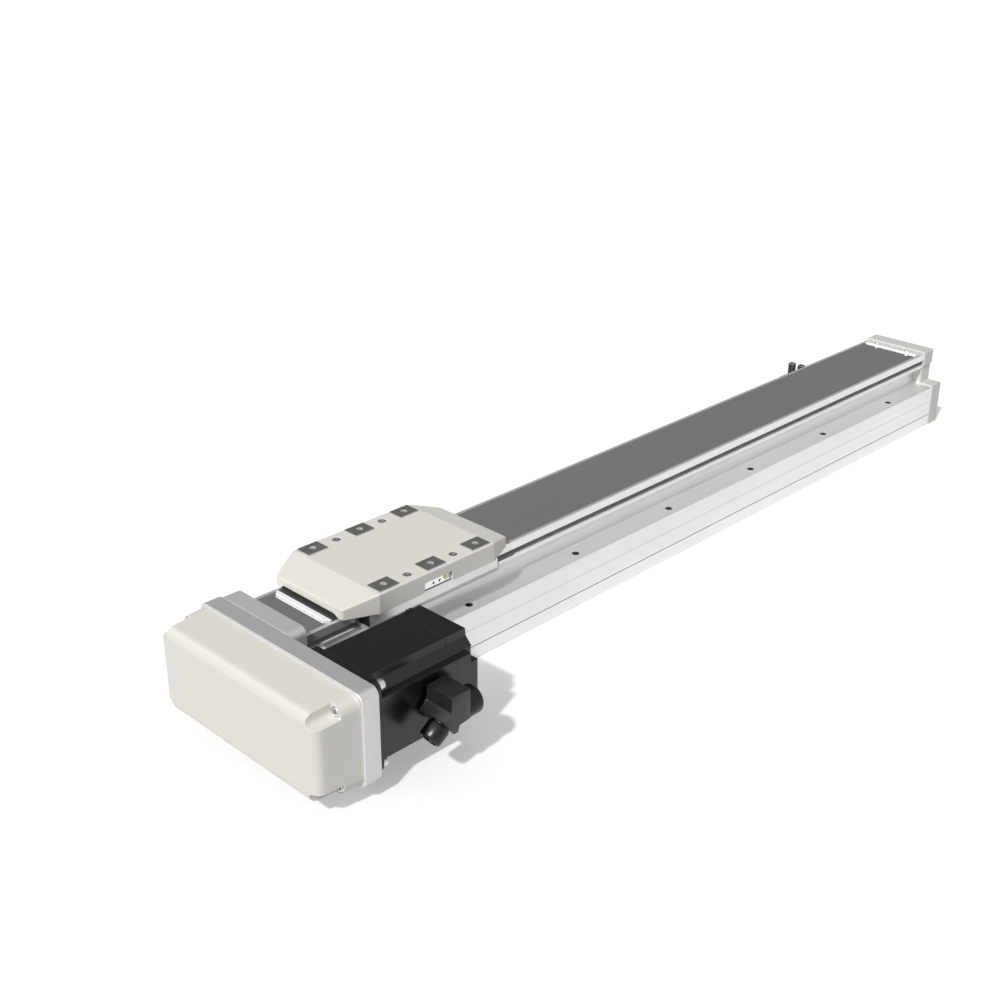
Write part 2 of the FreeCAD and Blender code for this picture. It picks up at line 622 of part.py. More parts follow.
def make_belt_cover():
    body = new_body("belt_cover")
    inset = "belt_cover_inset"
    outline = rectangle("-plate_right + " + inset, "plate_bottom + " + inset,
                        "plate_left - " + inset, "plate_top - " + inset, "belt_cover_round")
    pad(body, sketch_on(body, "YZ", [outline], offset=PLATE_FRONT), "belt_cover_depth",
        backward=True, draft="-belt_cover_draft")
    front = value("%s - belt_cover_depth" % PLATE_FRONT)
    dress(body, "Fillet", "Radius", "belt_cover_fillet - 1",
          lambda ends, mid: abs(mid.x - front) < 0.01)
    deep = "belt_cover_depth - belt_cover_wall"
    side = "(%s + belt_cover_wall + 2)" % inset
    notch = "(cover_screw_inset + notch_radius + notch_wall)"
    low, high = "plate_bottom", "plate_top"
    left, right = "plate_left", "-plate_right"
    inner = [(right + " + " + notch, low + " + " + side), (left + " - " + notch, low + " + " + side),
             (left + " - " + notch, low + " + " + notch), (left + " - " + side, low + " + " + notch),
             (left + " - " + side, high + " - " + notch), (left + " - " + notch, high + " - " + notch),
             (left + " - " + notch, high + " - " + side), (right + " + " + notch, high + " - " + side),
             (right + " + " + notch, high + " - " + notch), (right + " + " + side, high + " - " + notch),
             (right + " + " + side, low + " + " + notch), (right + " + " + notch, low + " + " + notch)]
    pocket(body, sketch_on(body, "YZ", [inner], offset=PLATE_FRONT), deep, backward=True)
    seat = "%s - cover_screw_seat" % PLATE_FRONT
    tools = []
    for x, y, z in cover_screw_spots(seat):
        tools.append(rod("notch_radius", "cover_screw_seat", (x, y, z), BACK_X))
        tools.append(rod("2.7", "cover_screw_seat + 1", (x, y, z), ALONG_X))
        y_span = ("-18", "notch_radius") if value(y) < 0 else ("-notch_radius", "18")
        z_span = ("-notch_radius", "18") if value(z) > value("screw_level") else ("-18", "notch_radius")
        notch = new_body("cover_notch")
        outline = rectangle(y_span[0], z_span[0], y_span[1], z_span[1], "notch_radius")
        pad(notch, sketch_on(notch, "YZ", [outline]), "belt_cover_depth - cover_notch_seat + 1",
            backward=True, draft="notch_draft")
        tools.append(place(notch, "%s - cover_notch_seat" % PLATE_FRONT, y, z))
    keep(cut(body, tools), "belt_cover")
    screws("belt_cover_screws", cover_screw_spots(seat), "4.25", "5", "2.5",
           "cover_screw_seat + cover_screw_hold", BACK_X)


def motor_outline(inset="0"):
    """Section of the motor: four flats with a notch and a slanted boss at each corner."""
    flat = "motor_flat_half"
    edge = "motor_half - (%s)" % inset
    quarter = [(flat, edge), (flat + " + 0.8", edge + " - 7", "1.2"),
               (edge + " - 7", flat + " + 0.8", "1.2"), (edge, flat)]
    corners = []
    for turns in range(4):
        for corner in quarter:
            y, z = corner[0], corner[1]
            for _ in range(turns):
                y, z = z, "-(%s)" % y
            corners.append((y, z) + tuple(corner[2:]))
    return corners


def make_motor():
    centre = ("-(%s)" % MOTOR_ROW, "screw_level")
    flange = new_body("motor_flange")
    half = "motor_half"
    outline = rectangle("-" + half, "-" + half, half, half, "motor_round")
    pad(flange, sketch_on(flange, "YZ", [outline]), "motor_flange_length")
    pad(flange, sketch_on(flange, "YZ", circles=[("0", "0", "pilot_radius")]), "pilot_length",
        backward=True)
    place(flange, PLATE_BACK, *centre)
    tools = [rod("motor_shaft_radius + 0.6", "motor_flange_length + pilot_length",
                 ("%s - pilot_length" % PLATE_BACK,) + centre)]
    tools += [rod("3.2", "motor_flange_length", spot) for spot in motor_screw_spots(PLATE_BACK)]
    keep(cut(flange, tools), "motor_flange")
    start = "%s + motor_flange_length" % PLATE_BACK
    screws("motor_screws", motor_screw_spots(start), "5", "6", "3",
           "motor_flange_length + motor_screw_hold", ALONG_X)
    housing = new_body("motor_housing")
    pad(housing, sketch_on(housing, "YZ", [motor_outline()]), "motor_body_length")
    place(housing, start, *centre)
    keep(cut(housing, [rod("motor_shaft_radius + running_gap", "rotor_depth", (start,) + centre)]),
         "motor_housing")
    seam = "%s + motor_body_length" % start
    encoder = new_body("encoder_cap")
    pad(encoder, sketch_on(encoder, "YZ", [motor_outline()], offset="motor_seam"), "encoder_length")
    pad(encoder, sketch_on(encoder, "YZ", circles=[("0", "0", "motor_flat_half")]), "motor_seam + 1")
    rear = value("motor_seam + encoder_length")
    dress(encoder, "Chamfer", "Size", "0.8", lambda ends, mid: abs(mid.x - rear) < 0.01)
    place(encoder, seam, *centre)
    pockets = []
    for a in ("", "-"):
        for b in ("", "-"):
            y = "(%s) + (%s1) * (motor_half - 4) - 5" % (centre[0], a)
            z = "(%s) + (%s1) * (motor_flat_half - 4) - 5" % (centre[1], b)
            pockets.append(box(("12", "10", "10"), ("%s + encoder_length - 8" % seam, y, z)))
    keep(cut(encoder, pockets), "encoder_cap")


def make_connectors():
    """A connector block on the motor's side with a power and a signal connector."""
    side = "-(%s) - motor_half" % MOTOR_ROW
    x0 = "(%s + motor_flange_length + 50)" % PLATE_BACK
    level = "screw_level"
    corners = [("- 5", "+ 22.5"), ("- 14", "+ 3", "1.5"), ("- 3", "- 13"), ("+ 2.5", "- 13"),
               ("+ 2.5", "- 6"), ("+ 16", "- 6"), ("+ 16", "+ 22.5")]
    outline = [("%s %s" % (x0, c[0]), "%s %s" % (level, c[1])) + tuple(c[2:]) for c in corners]
    block = new_body("connector_block")
    pad(block, sketch_on(block, "XZ", [outline], offset="-(%s) + 3" % side), "29.5")
    foot = rod("13", "4", (x0 + " + 12", side, level + " + 6"), turn((1, 0, 0), 90))
    keep(join([block, foot]), "connector_block")
    lean = math.degrees(math.atan2(-16, -11))
    plug = [("0", "0"), ("11", "0"), ("11", "3"), ("13", "3.6"), ("13", "15", "1"), ("9", "15"),
            ("9", "10"), ("0", "10")]
    keep(revolve("power_connector", plug, (x0 + " - 8.5", side + " - 19.5", level + " - 5"),
                 turn((0, 1, 0), lean)), "power_connector")
    plug = [("0", "0"), ("10.5", "0"), ("10.5", "4"), ("13", "4.6"), ("13", "17", "1.5"), ("8", "17"),
            ("8", "13"), ("0", "13")]
    keep(revolve("signal_connector", plug, (x0 + " + 16", side + " - 18.5", level),
                 ALONG_X), "signal_connector")


def make_sensors():
    wall = "base_half"
    bracket = new_body("sensor_bracket")
    outline = [(wall, "floor_top"), (wall + " + 2", "floor_top"), (wall + " + 2", "sensor_shelf - 3"),
               (wall + " + 1 + sensor_depth", "sensor_shelf - 3"),
               (wall + " + 1 + sensor_depth", "sensor_shelf"), (wall, "sensor_shelf", "1")]
    pad(bracket, sketch_on(bracket, "YZ", [outline], offset="sensor_start"), "sensor_end - sensor_start")
    middle = "(sensor_start + sensor_end) / 2"
    holes = [rod("2.1", "4", ("%s + (%s1) * 20" % (middle, sign), wall + " - 1", "42"), ALONG_Y)
             for sign in ("", "-")]
    keep(cut(bracket, holes), "sensor_bracket")
    seats = [("%s + (%s1) * 20" % (middle, sign), wall + " + 2", "42") for sign in ("", "-")]
    screws("sensor_screws", seats, "3.5", "4", "2", "2", ALONG_Y)
    for name, start, height in (("home_sensor", "sensor_start + 19", "15"),
                                ("limit_sensor", "sensor_start + 41", "6.5")):
        post = new_body(name)
        outline = rectangle("0", "0", "sensor_post", "sensor_depth - 1", "1.2")
        pad(post, sketch_on(post, "XY", [outline]), height)
        place(post, start, wall + " + 2", "sensor_shelf")
        top = value(height)
        dress(post, "Chamfer", "Size", "0.8", lambda ends, mid: abs(mid.z - top) < 0.01)
        keep(post, name)


def make_ball_screw():
    near = "%s - 15" % BELT_X
    shoulder = "%s + 0.2" % PROFILE_START
    far = "%s - 4" % PROFILE_END
    tip = "%s + far_bearing_length + 2" % PROFILE_END
    outline = [("0", "0"), ("journal_radius", "0", "0.5"),
               ("journal_radius", "%s - (%s)" % (shoulder, near)),
               ("screw_radius", "%s - (%s)" % (shoulder, near)),
               ("screw_radius", "%s - (%s)" % (far, near), "0.5"),
               ("far_journal_radius", "%s - (%s)" % (far, near)),
               ("far_journal_radius", "%s - (%s)" % (tip, near), "0.5"),
               ("0", "%s - (%s)" % (tip, near))]
    keep(revolve("ball_screw", outline, (near, "0", "screw_level")), "ball_screw")
    nut = [("screw_radius + seat_gap", "0"), ("lock_nut_radius", "0", "0.8"),
           ("lock_nut_radius", "lock_nut_length", "0.8"), ("screw_radius + seat_gap", "lock_nut_length")]
    keep(revolve("lock_nut", nut, ("%s + 0.4" % PROFILE_START, "0", "screw_level")), "lock_nut")


def make_pulley(name, row, bore, turned):
    """A toothed pulley: rims, a toothed drum cut groove by groove, a hub and a bore."""
    body = new_body(name)
    drum = "belt_width / 2 + pulley_side_gap"
    radius = "%s - pitch_offset - tooth_gap" % PITCH_RADIUS
    pad(body, sketch_on(body, "YZ", circles=[("0", "0", radius), ("0", "0", bore)],
                        offset="-(%s)" % drum), "2 * (%s)" % drum)
    depth = "tooth_height + 2 * tooth_gap"
    outline = [("-(tooth_root / 2 + tooth_gap + 0.05)", "%s + 0.3" % radius),
               ("-(tooth_tip / 2 + tooth_gap)", "%s - (%s)" % (radius, depth)),
               ("tooth_tip / 2 + tooth_gap", "%s - (%s)" % (radius, depth)),
               ("tooth_root / 2 + tooth_gap + 0.05", "%s + 0.3" % radius)]
    groove = pocket(body, sketch_on(body, "YZ", [outline], offset="-(%s) - 0.5" % drum),
                    "2 * (%s) + 1" % drum)
    ring = body.newObject("PartDesign::PolarPattern", fresh("teeth"))
    ring.Originals = [groove]
    ring.Axis = ([f for f in body.Origin.OriginFeatures if f.Role == "X_Axis"][0], [""])
    ring.Angle = 360
    bind(ring, Occurrences="pulley_teeth")
    body.Tip = ring
    DOC.recompute()
    for side, start, length, backward in (("rim", drum, "pulley_rim", False),
                                          ("rim", "-(%s)" % drum, "pulley_rim", True)):
        pad(body, sketch_on(body, "YZ", circles=[("0", "0", "pulley_rim_radius"), ("0", "0", bore)],
                            offset=start), length, backward=backward)
    pad(body, sketch_on(body, "YZ", circles=[("0", "0", "pulley_hub_radius"), ("0", "0", bore)],
                        offset="%s + pulley_rim" % drum), "pulley_hub_length")
    place(body, BELT_X, row, "screw_level", rotation=turn((1, 0, 0), turned))
    DOC.recompute()
    return keep(body, name)


def make_pulley_bolts():
    start = "%s - 15" % BELT_X
    for name, row in (("screw_pulley_bolt", "0"), ("motor_pulley_bolt", "-(%s)" % MOTOR_ROW)):
        outline = [("0", "0"), ("10.5", "0"), ("10.5", "2", "0.5"), ("4.25", "2"), ("4.25", "5.5", "0.5"),
                   ("2.4", "5.5"), ("2.4", "3"), ("0", "3")]
        keep(revolve(name, outline, (start, row, "screw_level"), BACK_X), name)


def make_motor_shaft():
    near = "%s - 15" % BELT_X
    length = "%s + motor_flange_length + rotor_depth - 2 - (%s)" % (PLATE_BACK, near)
    outline = [("0", "0"), ("motor_shaft_radius", "0", "0.6"), ("motor_shaft_radius", length),
               ("0", length)]
    keep(revolve("motor_shaft", outline, (near, "-(%s)" % MOTOR_ROW, "screw_level")), "motor_shaft")


def make_toothed_belt():
    """The belt as one loop: a smooth back and teeth that sit in the pulley grooves."""
    pitch = value("belt_pitch")
    teeth = int(value("pulley_teeth"))
    free = int(value("belt_free_teeth"))
    land = value("%s - pitch_offset" % PITCH_RADIUS)
    height = value("tooth_height")
    half_root, half_tip = value("tooth_root / 2"), value("tooth_tip / 2")
    span = value(MOTOR_ROW)
    back = land + value("belt_back")
    steps = [(-half_root, 0.0), (-half_tip, height), (half_tip, height), (half_root, 0.0)]
    loop = []

    def wrap(centre_y, first_angle, count):
        for number in range(count):
            angle = first_angle + 2 * math.pi * number / teeth
            out = (math.cos(angle), math.sin(angle))
            along = (-out[1], out[0])
            for shift, depth in steps:
                reach = math.sqrt(land ** 2 - half_root ** 2) - depth
                loop.append((centre_y + reach * out[0] + shift * along[0],
                             reach * out[1] + shift * along[1]))

    def run(start_y, direction, level, inward):
        for number in range(1, (free + 1) // 2):
            middle = start_y + direction * pitch * number
            for shift, depth in steps:
                loop.append((middle + direction * shift, level + inward * depth))

    wrap(0.0, -math.pi / 2, teeth // 2 + 1)
    run(0.0, -1, land, -1)
    wrap(-span, math.pi / 2 + math.pi / teeth * (free % 2), teeth // 2)
    run(-span - pitch / 2 * (free % 2), 1, -land, 1)
    points = [FreeCAD.Vector(0, y, z) for y, z in loop]
    inner = Part.Wire(Part.makePolygon(points + [points[0]]))
    top, bottom = FreeCAD.Vector(0, 0, back), FreeCAD.Vector(0, 0, -back)
    far = FreeCAD.Vector(0, -span, 0)
    outer = Part.Wire([
        Part.Arc(bottom, FreeCAD.Vector(0, back, 0), top).toShape(),
        Part.LineSegment(top, far + top).toShape(),
        Part.Arc(far + top, far + FreeCAD.Vector(0, -back, 0), far + bottom).toShape(),
        Part.LineSegment(far + bottom, bottom).toShape()])
    ring = Part.Face(outer).cut(Part.Face(inner))
    solid = ring.extrude(FreeCAD.Vector(value("belt_width"), 0, 0))
    belt = DOC.addObject("Part::Feature", "toothed_belt")
    belt.Shape = solid
    belt.Placement = FreeCAD.Placement(vec("%s - belt_width / 2" % BELT_X, "0", "screw_level"),
                                       FreeCAD.Rotation())
    keep(belt, "toothed_belt")


def make_carriage_core():
    body = new_body("carriage_core")
    bottom = "floor_top + runner_height"
    foot = "%s - core_foot_gap" % CAVITY_HALF
    half = [(foot, bottom), (foot, "core_foot_top"),
            ("core_neck_half", "core_foot_top"), ("core_neck_half", "wing_bottom"),
            (BRIDGE_HALF, "wing_bottom", "0.8"), (BRIDGE_HALF, "wing_top"),
            ("cover_half - cover_wall - 2", "wing_top"), ("cover_half - cover_wall - 2", "core_top")]
    pad(body, sketch_on(body, "YZ", [mirrored(half)], offset="-bridge_half_length"),
        "2 * bridge_half_length")
    place(body, "carriage_rest", "0", "0")
    near = "carriage_rest - bridge_half_length"
    tools = [rod("nut_radius + seat_gap", "nut_length", (near, "0", "screw_level")),
             rod("screw_radius + 2.5", "2 * bridge_half_length", (near, "0", "screw_level"))]
    tools += [rod("2.05", "10", spot) for spot in nut_screw_spots(near)]
    keep(cut(body, tools), "carriage_core")


def nut_screw_spots(x):
    return [(x, "(%s1) * nut_bolt_circle * 0.7071" % a, "screw_level + (%s1) * nut_bolt_circle * 0.7071" % b)
            for a in ("", "-") for b in ("", "-")]


def make_ball_nut():
    near = "carriage_rest - bridge_half_length"
    start = "%s - nut_flange_length" % near
    outline = [("screw_radius + running_gap", "0"), ("nut_flange_radius", "0", "0.5"),
               ("nut_flange_radius", "nut_flange_length"), ("nut_radius", "nut_flange_length"),
               ("nut_radius", "nut_flange_length + nut_length - 1", "1"),
               ("screw_radius + running_gap", "nut_flange_length + nut_length - 1")]
    nut = revolve("ball_nut", outline, (start, "0", "screw_level"))
    tools = [rod("2.15", "nut_flange_length", spot) for spot in nut_screw_spots(start)]
    keep(cut(nut, tools), "ball_nut")
    screws("ball_nut_screws", nut_screw_spots(start), "3.5", "4", "2", "nut_flange_length + 8", BACK_X)


def pad_spots():
    return [("carriage_rest + (%d) * pad_pitch" % n, side + PAD_ROW)
            for side in ("", "-") for n in (-1, 0, 1)]


def shell_screw_spots():
    return [("carriage_rest + (%s1) * shell_screw_offset" % a, side + PAD_ROW)
            for side in ("", "-") for a in ("-", "")]


def make_carriage_bridge():
    body = new_body("carriage_bridge")
    inside = "cover_half + bridge_side_gap"
    half = [(inside, "wing_top"), (BRIDGE_HALF, "wing_top"), (BRIDGE_HALF, "bridge_top", "1")]
    inner = [("-(%s)" % inside, "tunnel_top"), (inside, "tunnel_top")]
    pad(body, sketch_on(body, "YZ", [mirrored(half) + inner], offset="-bridge_half_length"),
        "2 * bridge_half_length")
    place(body, "carriage_rest", "0", "0")
    upright = turn((0, 0, 1), 0)
    tools = [rod("pad_thread_radius - 0.6", "14", (x, y, "bridge_top - 12.5"), upright)
             for x, y in pad_spots()]
    tip = "(bridge_half_length - bridge_step)"
    for end in ("carriage_rest + " + tip, "carriage_rest - bridge_half_length - 1"):
        tools.append(box(("bridge_step + 1", "2 * %s + 2" % BRIDGE_HALF, "4"),
                         (end, "-%s - 1" % BRIDGE_HALF, "bridge_top - 3.6")))
        for y in ("%s - 4" % BRIDGE_HALF, "-%s - 1" % BRIDGE_HALF):
            tools.append(box(("bridge_step + 1", "5", "bridge_top - shell_bottom + 2"),
                             (end, y, "shell_bottom - 1")))
    tools += [rod("2.05", "11", (x, y, "bridge_top - 10"), upright) for x, y in shell_screw_spots()]
    for side, rotation in (("-", ALONG_Y), ("", turn((1, 0, 0), 90))):
        y = side + BRIDGE_HALF
        tools.append(rod("1.3", "4", ("carriage_rest - 3", y, "wing_top + 14.4"), rotation))
        tools.append(rod("1.3", "4", ("carriage_rest + 4.5", y, "wing_top + 14.3"), rotation))
        tools.append(rod("1.55", "5", ("carriage_rest + 12", y, "wing_top + 15"), rotation))
    keep(cut(body, tools), "carriage_bridge")
    nipples = []
    for side, rotation in (("-", turn((1, 0, 0), 90)), ("", ALONG_Y)):
        sign = "1" if side == "" else "-1"
        y = side + BRIDGE_HALF
        x, z = "carriage_rest + 12", "wing_top + 15"
        nipples.append(rod("1.5", "4", (x, "(%s) - (%s) * 4" % (y, sign), z), rotation))
        nipples.append(rod("2.3", "0.9", (x, y, z), rotation))
        nipples.append(cone("1.2", "0.9", "0.8", (x, "(%s) + (%s) * 0.9" % (y, sign), z), rotation))
    keep(join(nipples), "grease_nipples")
    for number, (x, y) in enumerate(pad_spots(), start=1):
        plate = new_body("mounting_pad")
        outline = rectangle("-pad_length / 2", "-pad_width / 2", "pad_length / 2", "pad_width / 2", "0.8")
        pad(plate, sketch_on(plate, "XY", [outline], [("0", "0", "pad_thread_radius - 0.6")]),
            "carriage_top + pad_rise - bridge_top")
        place(plate, x, y, "bridge_top")
        DOC.recompute()
        keep(plate, "mounting_pad_%d" % number)


def make_carriage_shell():
    body = new_body("carriage_shell")
    side = [("nose_half_length", "shell_bottom"), ("nose_half_length", "nose_top"),
            ("shell_flat_half", "carriage_top")]
    outline = mirrored(side)
    pad(body, sketch_on(body, "XZ", [outline], offset="-carriage_half"), "2 * carriage_half")
    corner = [("shell_flat_half", "carriage_half"), ("nose_half_length", NOSE_HALF),
              ("nose_half_length + 5", NOSE_HALF), ("nose_half_length + 5", "carriage_half + 5"),
              ("shell_flat_half", "carriage_half + 5")]
    flips = [("", ""), ("-", ""), ("", "-"), ("-", "-")]
    outlines = [[("%s(%s)" % (a, x), "%s(%s)" % (b, y)) for x, y in corner] for a, b in flips]
    pocket(body, sketch_on(body, "XY", outlines), "carriage_top + 10")
    tip = value("nose_half_length")
    low, top = value("shell_bottom"), value("carriage_top")
    dress(body, "Fillet", "Radius", "4", lambda ends, mid: abs(abs(mid.x) - tip) < 0.01
          and abs(ends[0].z - ends[1].z) > 5)
    dress(body, "Fillet", "Radius", "shell_edge",
          lambda ends, mid: mid.z > low + 6 and not (abs(ends[0].z - ends[1].z) > 5
          and abs(mid.z - (low + (ends[0].z + ends[1].z) / 2 - low)) < 0.01
          and abs(ends[0].x - ends[1].x) < 0.01))
    place(body, "carriage_rest", "0", "0")
    hollow = new_body("shell_hollow")
    wall = "shell_wall"
    side = [("nose_half_length - %s" % wall, "shell_bottom - 5"),
            ("nose_half_length - %s" % wall, "nose_top - 1.6"),
            ("shell_flat_half - 0.4", "carriage_top - %s" % wall)]
    pad(hollow, sketch_on(hollow, "XZ", [mirrored(side)], offset="-carriage_half + %s" % wall),
        "2 * (carriage_half - %s)" % wall)
    corner = [("shell_flat_half - 0.6", "carriage_half - %s" % wall),
              ("nose_half_length - %s" % wall, "%s - 1.4" % NOSE_HALF),
              ("nose_half_length + 5", "%s - 1.4" % NOSE_HALF),
              ("nose_half_length + 5", "carriage_half + 5"), ("shell_flat_half - 0.6", "carriage_half + 5")]
    outlines = [[("%s(%s)" % (a, x), "%s(%s)" % (b, y)) for x, y in corner] for a, b in flips]
    pocket(hollow, sketch_on(hollow, "XY", outlines), "carriage_top + 10")
    place(hollow, "carriage_rest", "0", "0")
    tunnel = new_body("shell_tunnel")
    half = [("tunnel_foot_half", "shell_bottom - 5"), ("tunnel_foot_half", "shell_bottom"),
            ("tunnel_half", "tunnel_top")]
    pad(tunnel, sketch_on(tunnel, "YZ", [mirrored(half)], offset="-nose_half_length - 5"),
        "2 * nose_half_length + 10")
    place(tunnel, "carriage_rest", "0", "0")
    tools = [hollow, tunnel,
             box(("2 * window_half", "2 * carriage_half + 2", "window_top - shell_bottom + 5"),
                 ("carriage_rest - window_half", "-carriage_half - 1", "shell_bottom - 5"))]
    for x, y in pad_spots():
        tools.append(box(("pad_length + 2 * pad_gap", "pad_width + 2 * pad_gap", "shell_wall + 2"),
                         ("%s - pad_length / 2 - pad_gap" % x, "%s - pad_width / 2 - pad_gap" % y,
                          "carriage_top - shell_wall - 1")))
    upright = turn((0, 0, 1), 0)
    for x, y in shell_screw_spots():
        tools.append(rod("2.2", "6", (x, y, "carriage_top - 5"), upright))
        tools.append(cone("2.2", "4.4", "2.2", (x, y, "carriage_top - 2.2"), upright))
        tools.append(rod("4.4", "1", (x, y, "carriage_top"), upright))
    keep(cut(body, tools), "carriage_shell")
    solids = []
    sockets = []
    for x, y in shell_screw_spots():
        solids.append(cone("2", "4.2", "2.2", (x, y, "carriage_top - 2.3"), upright))
        solids.append(rod("2", "8", (x, y, "carriage_top - 10.3"), upright))
        sockets.append(hexagon("1.45", "1.6", (x, y, "carriage_top - 1.6"), upright))
    keep(cut(join(solids), sockets), "shell_screws")


def make_wipers():
    for name, sign in (("drive_end_wiper", "-1"), ("far_end_wiper", "1")):
        body = new_body(name)
        bottom = "cover_top + wiper_gap"
        plan = [("bridge_half_length", "-wiper_half"), ("wiper_half_length - wiper_chamfer", "-wiper_half"),
                ("wiper_half_length", "-(wiper_half - wiper_chamfer)"),
                ("wiper_half_length", "wiper_half - wiper_chamfer"),
                ("wiper_half_length - wiper_chamfer", "wiper_half"), ("bridge_half_length", "wiper_half")]
        plan = [("(%s) * (%s)" % (sign, x), y) for x, y in plan]
        if sign == "-1":
            plan.reverse()
        pad(body, sketch_on(body, "XY", [plan], offset=bottom), "wiper_thickness")
        near = "(%s) * bridge_half_length" % sign
        far = "(%s) * (bridge_half_length + wiper_tab)" % sign
        low, high = (far, near) if sign == "-1" else (near, far)
        tab = rectangle(low, "-wiper_half", high, "wiper_half")
        pad(body, sketch_on(body, "XY", [tab], offset=bottom), "bridge_top - 8 - (%s)" % bottom)
        tip = "(%s) * wiper_half_length" % sign
        heel = "(%s) * (wiper_half_length - wiper_lip)" % sign
        low, high = (tip, heel) if sign == "-1" else (heel, tip)
        inner = "(wiper_half - wiper_chamfer)"
        lip = rectangle(low, "-" + inner, high, inner)
        pad(body, sketch_on(body, "XY", [lip], offset=bottom), "wiper_thickness + wiper_lip_rise")
        place(body, "carriage_rest", "0", "0")
        DOC.recompute()
        keep(body, name)


def check_and_export():
    DOC.recompute()
    for obj in DOC.Objects:
        if "Invalid" in obj.State or "Error" in obj.State:
            raise RuntimeError("object failed: %s %s" % (obj.Name, obj.Label))
    os.makedirs("parts", exist_ok=True)
    for label in PART_LABELS:
        obj = DOC.getObjectsByLabel(label)[0]
        shape = obj.Shape
        if shape.isNull() or not shape.isValid() or not shape.Solids:
            raise RuntimeError("bad shape: " + label)
        solids = shape.Solids
        result = solids[0] if len(solids) == 1 else Part.makeCompound(solids)
        result.exportStep("parts/%s.step" % label)
        print("%-22s %2d solids %10.0f mm3" % (label, len(solids), shape.Volume))


make_base_profile()
make_top_cover()
make_guide_rails()
make_runner_blocks()
make_bearing_housing()
make_end_cap()
make_bearings()
make_buffers()
make_drive_plate()
make_belt_cover()
make_motor()
make_connectors()
make_sensors()
make_ball_screw()
make_pulley("screw_pulley", "0", "journal_radius + seat_gap", 0)
make_pulley("motor_pulley", "-(%s)" % MOTOR_ROW, "motor_shaft_radius + seat_gap",
            180 / value("pulley_teeth") * (value("belt_free_teeth") % 2))
make_pulley_bolts()
make_motor_shaft()
make_toothed_belt()
make_carriage_core()
make_ball_nut()
make_carriage_bridge()
make_carriage_shell()
make_wipers()
check_and_export()
print(len(PART_LABELS), "nodes")
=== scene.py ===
"""Looks of a linear axis: finishes for its solids, detailed small pieces, floor, light and camera.

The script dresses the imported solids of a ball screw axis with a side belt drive.
It is laid out as an add-on: settings, one operator for each group of pieces, one
panel.  All lengths are metres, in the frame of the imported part: X along the
stroke, Y away from the motor, Z up.
"""
import math

import bmesh
import bpy
from bpy.props import FloatProperty, FloatVectorProperty, IntProperty, PointerProperty
from mathutils import Matrix, Vector


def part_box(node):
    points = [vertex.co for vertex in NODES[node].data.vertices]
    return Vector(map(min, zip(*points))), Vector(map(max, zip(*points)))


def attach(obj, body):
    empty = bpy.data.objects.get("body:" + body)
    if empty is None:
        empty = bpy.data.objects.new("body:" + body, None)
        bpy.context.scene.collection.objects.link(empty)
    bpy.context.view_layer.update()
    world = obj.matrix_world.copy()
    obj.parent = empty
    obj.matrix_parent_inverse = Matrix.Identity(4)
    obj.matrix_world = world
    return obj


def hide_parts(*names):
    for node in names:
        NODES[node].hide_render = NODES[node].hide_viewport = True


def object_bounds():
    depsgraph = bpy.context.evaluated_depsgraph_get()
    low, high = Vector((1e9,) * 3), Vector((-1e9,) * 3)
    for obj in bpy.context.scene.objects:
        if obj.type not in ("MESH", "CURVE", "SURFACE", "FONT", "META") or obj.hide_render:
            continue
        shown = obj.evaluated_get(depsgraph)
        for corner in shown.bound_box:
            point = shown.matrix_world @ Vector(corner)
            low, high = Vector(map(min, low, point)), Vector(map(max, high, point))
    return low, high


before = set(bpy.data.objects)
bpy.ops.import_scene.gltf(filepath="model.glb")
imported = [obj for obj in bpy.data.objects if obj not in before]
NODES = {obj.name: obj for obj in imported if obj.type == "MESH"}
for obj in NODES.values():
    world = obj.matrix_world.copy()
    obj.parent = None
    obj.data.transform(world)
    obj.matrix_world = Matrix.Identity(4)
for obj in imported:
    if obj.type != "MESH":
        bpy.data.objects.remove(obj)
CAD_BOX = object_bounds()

bl_info = {
    "name": "Linear axis looks",
    "version": (1, 0, 0),
    "blender": (4, 5, 0),
    "location": "View3D > Sidebar > Linear axis",
    "description": "Finishes and detail pieces for a linear axis with a side belt drive",
    "category": "Object",
}

MM = 0.001

# Camera, sun and floor
CAMERA_PLACE = (-0.6603, -0.8835, 0.7016)
CAMERA_YAW = math.radians(44.449)
CAMERA_PITCH = math.radians(24.903)
CAMERA_ROLL = math.radians(0.244)
SUN_TRAVEL = (0.66, 0.229, -0.715)
SUN_ANGLE = math.radians(3)
FLOOR_REACH = 30.0
FLOOR_SCATTERED = 0.47
FLOOR_SEEN = 0.72
FLOOR_GLOW = 0.33
SHARP_ANGLE = math.radians(32)

# Head radius, head height, corner radius of the socket and shank radius of socket head screws
M5_SCREW = (4.25 * MM, 5 * MM, 2.35 * MM, 2.5 * MM)
M6_SCREW = (5 * MM, 6 * MM, 2.9 * MM, 3 * MM)


# sizes and colours

def colour_setting(name, description, default):
    return FloatVectorProperty(name=name, description=description, default=default,
                               subtype="COLOR", size=3, min=0.0, max=1.0)


def length_setting(name, description, default):
    return FloatProperty(name=name, description=description, default=default,
                         subtype="DISTANCE", unit="LENGTH", min=0.0)


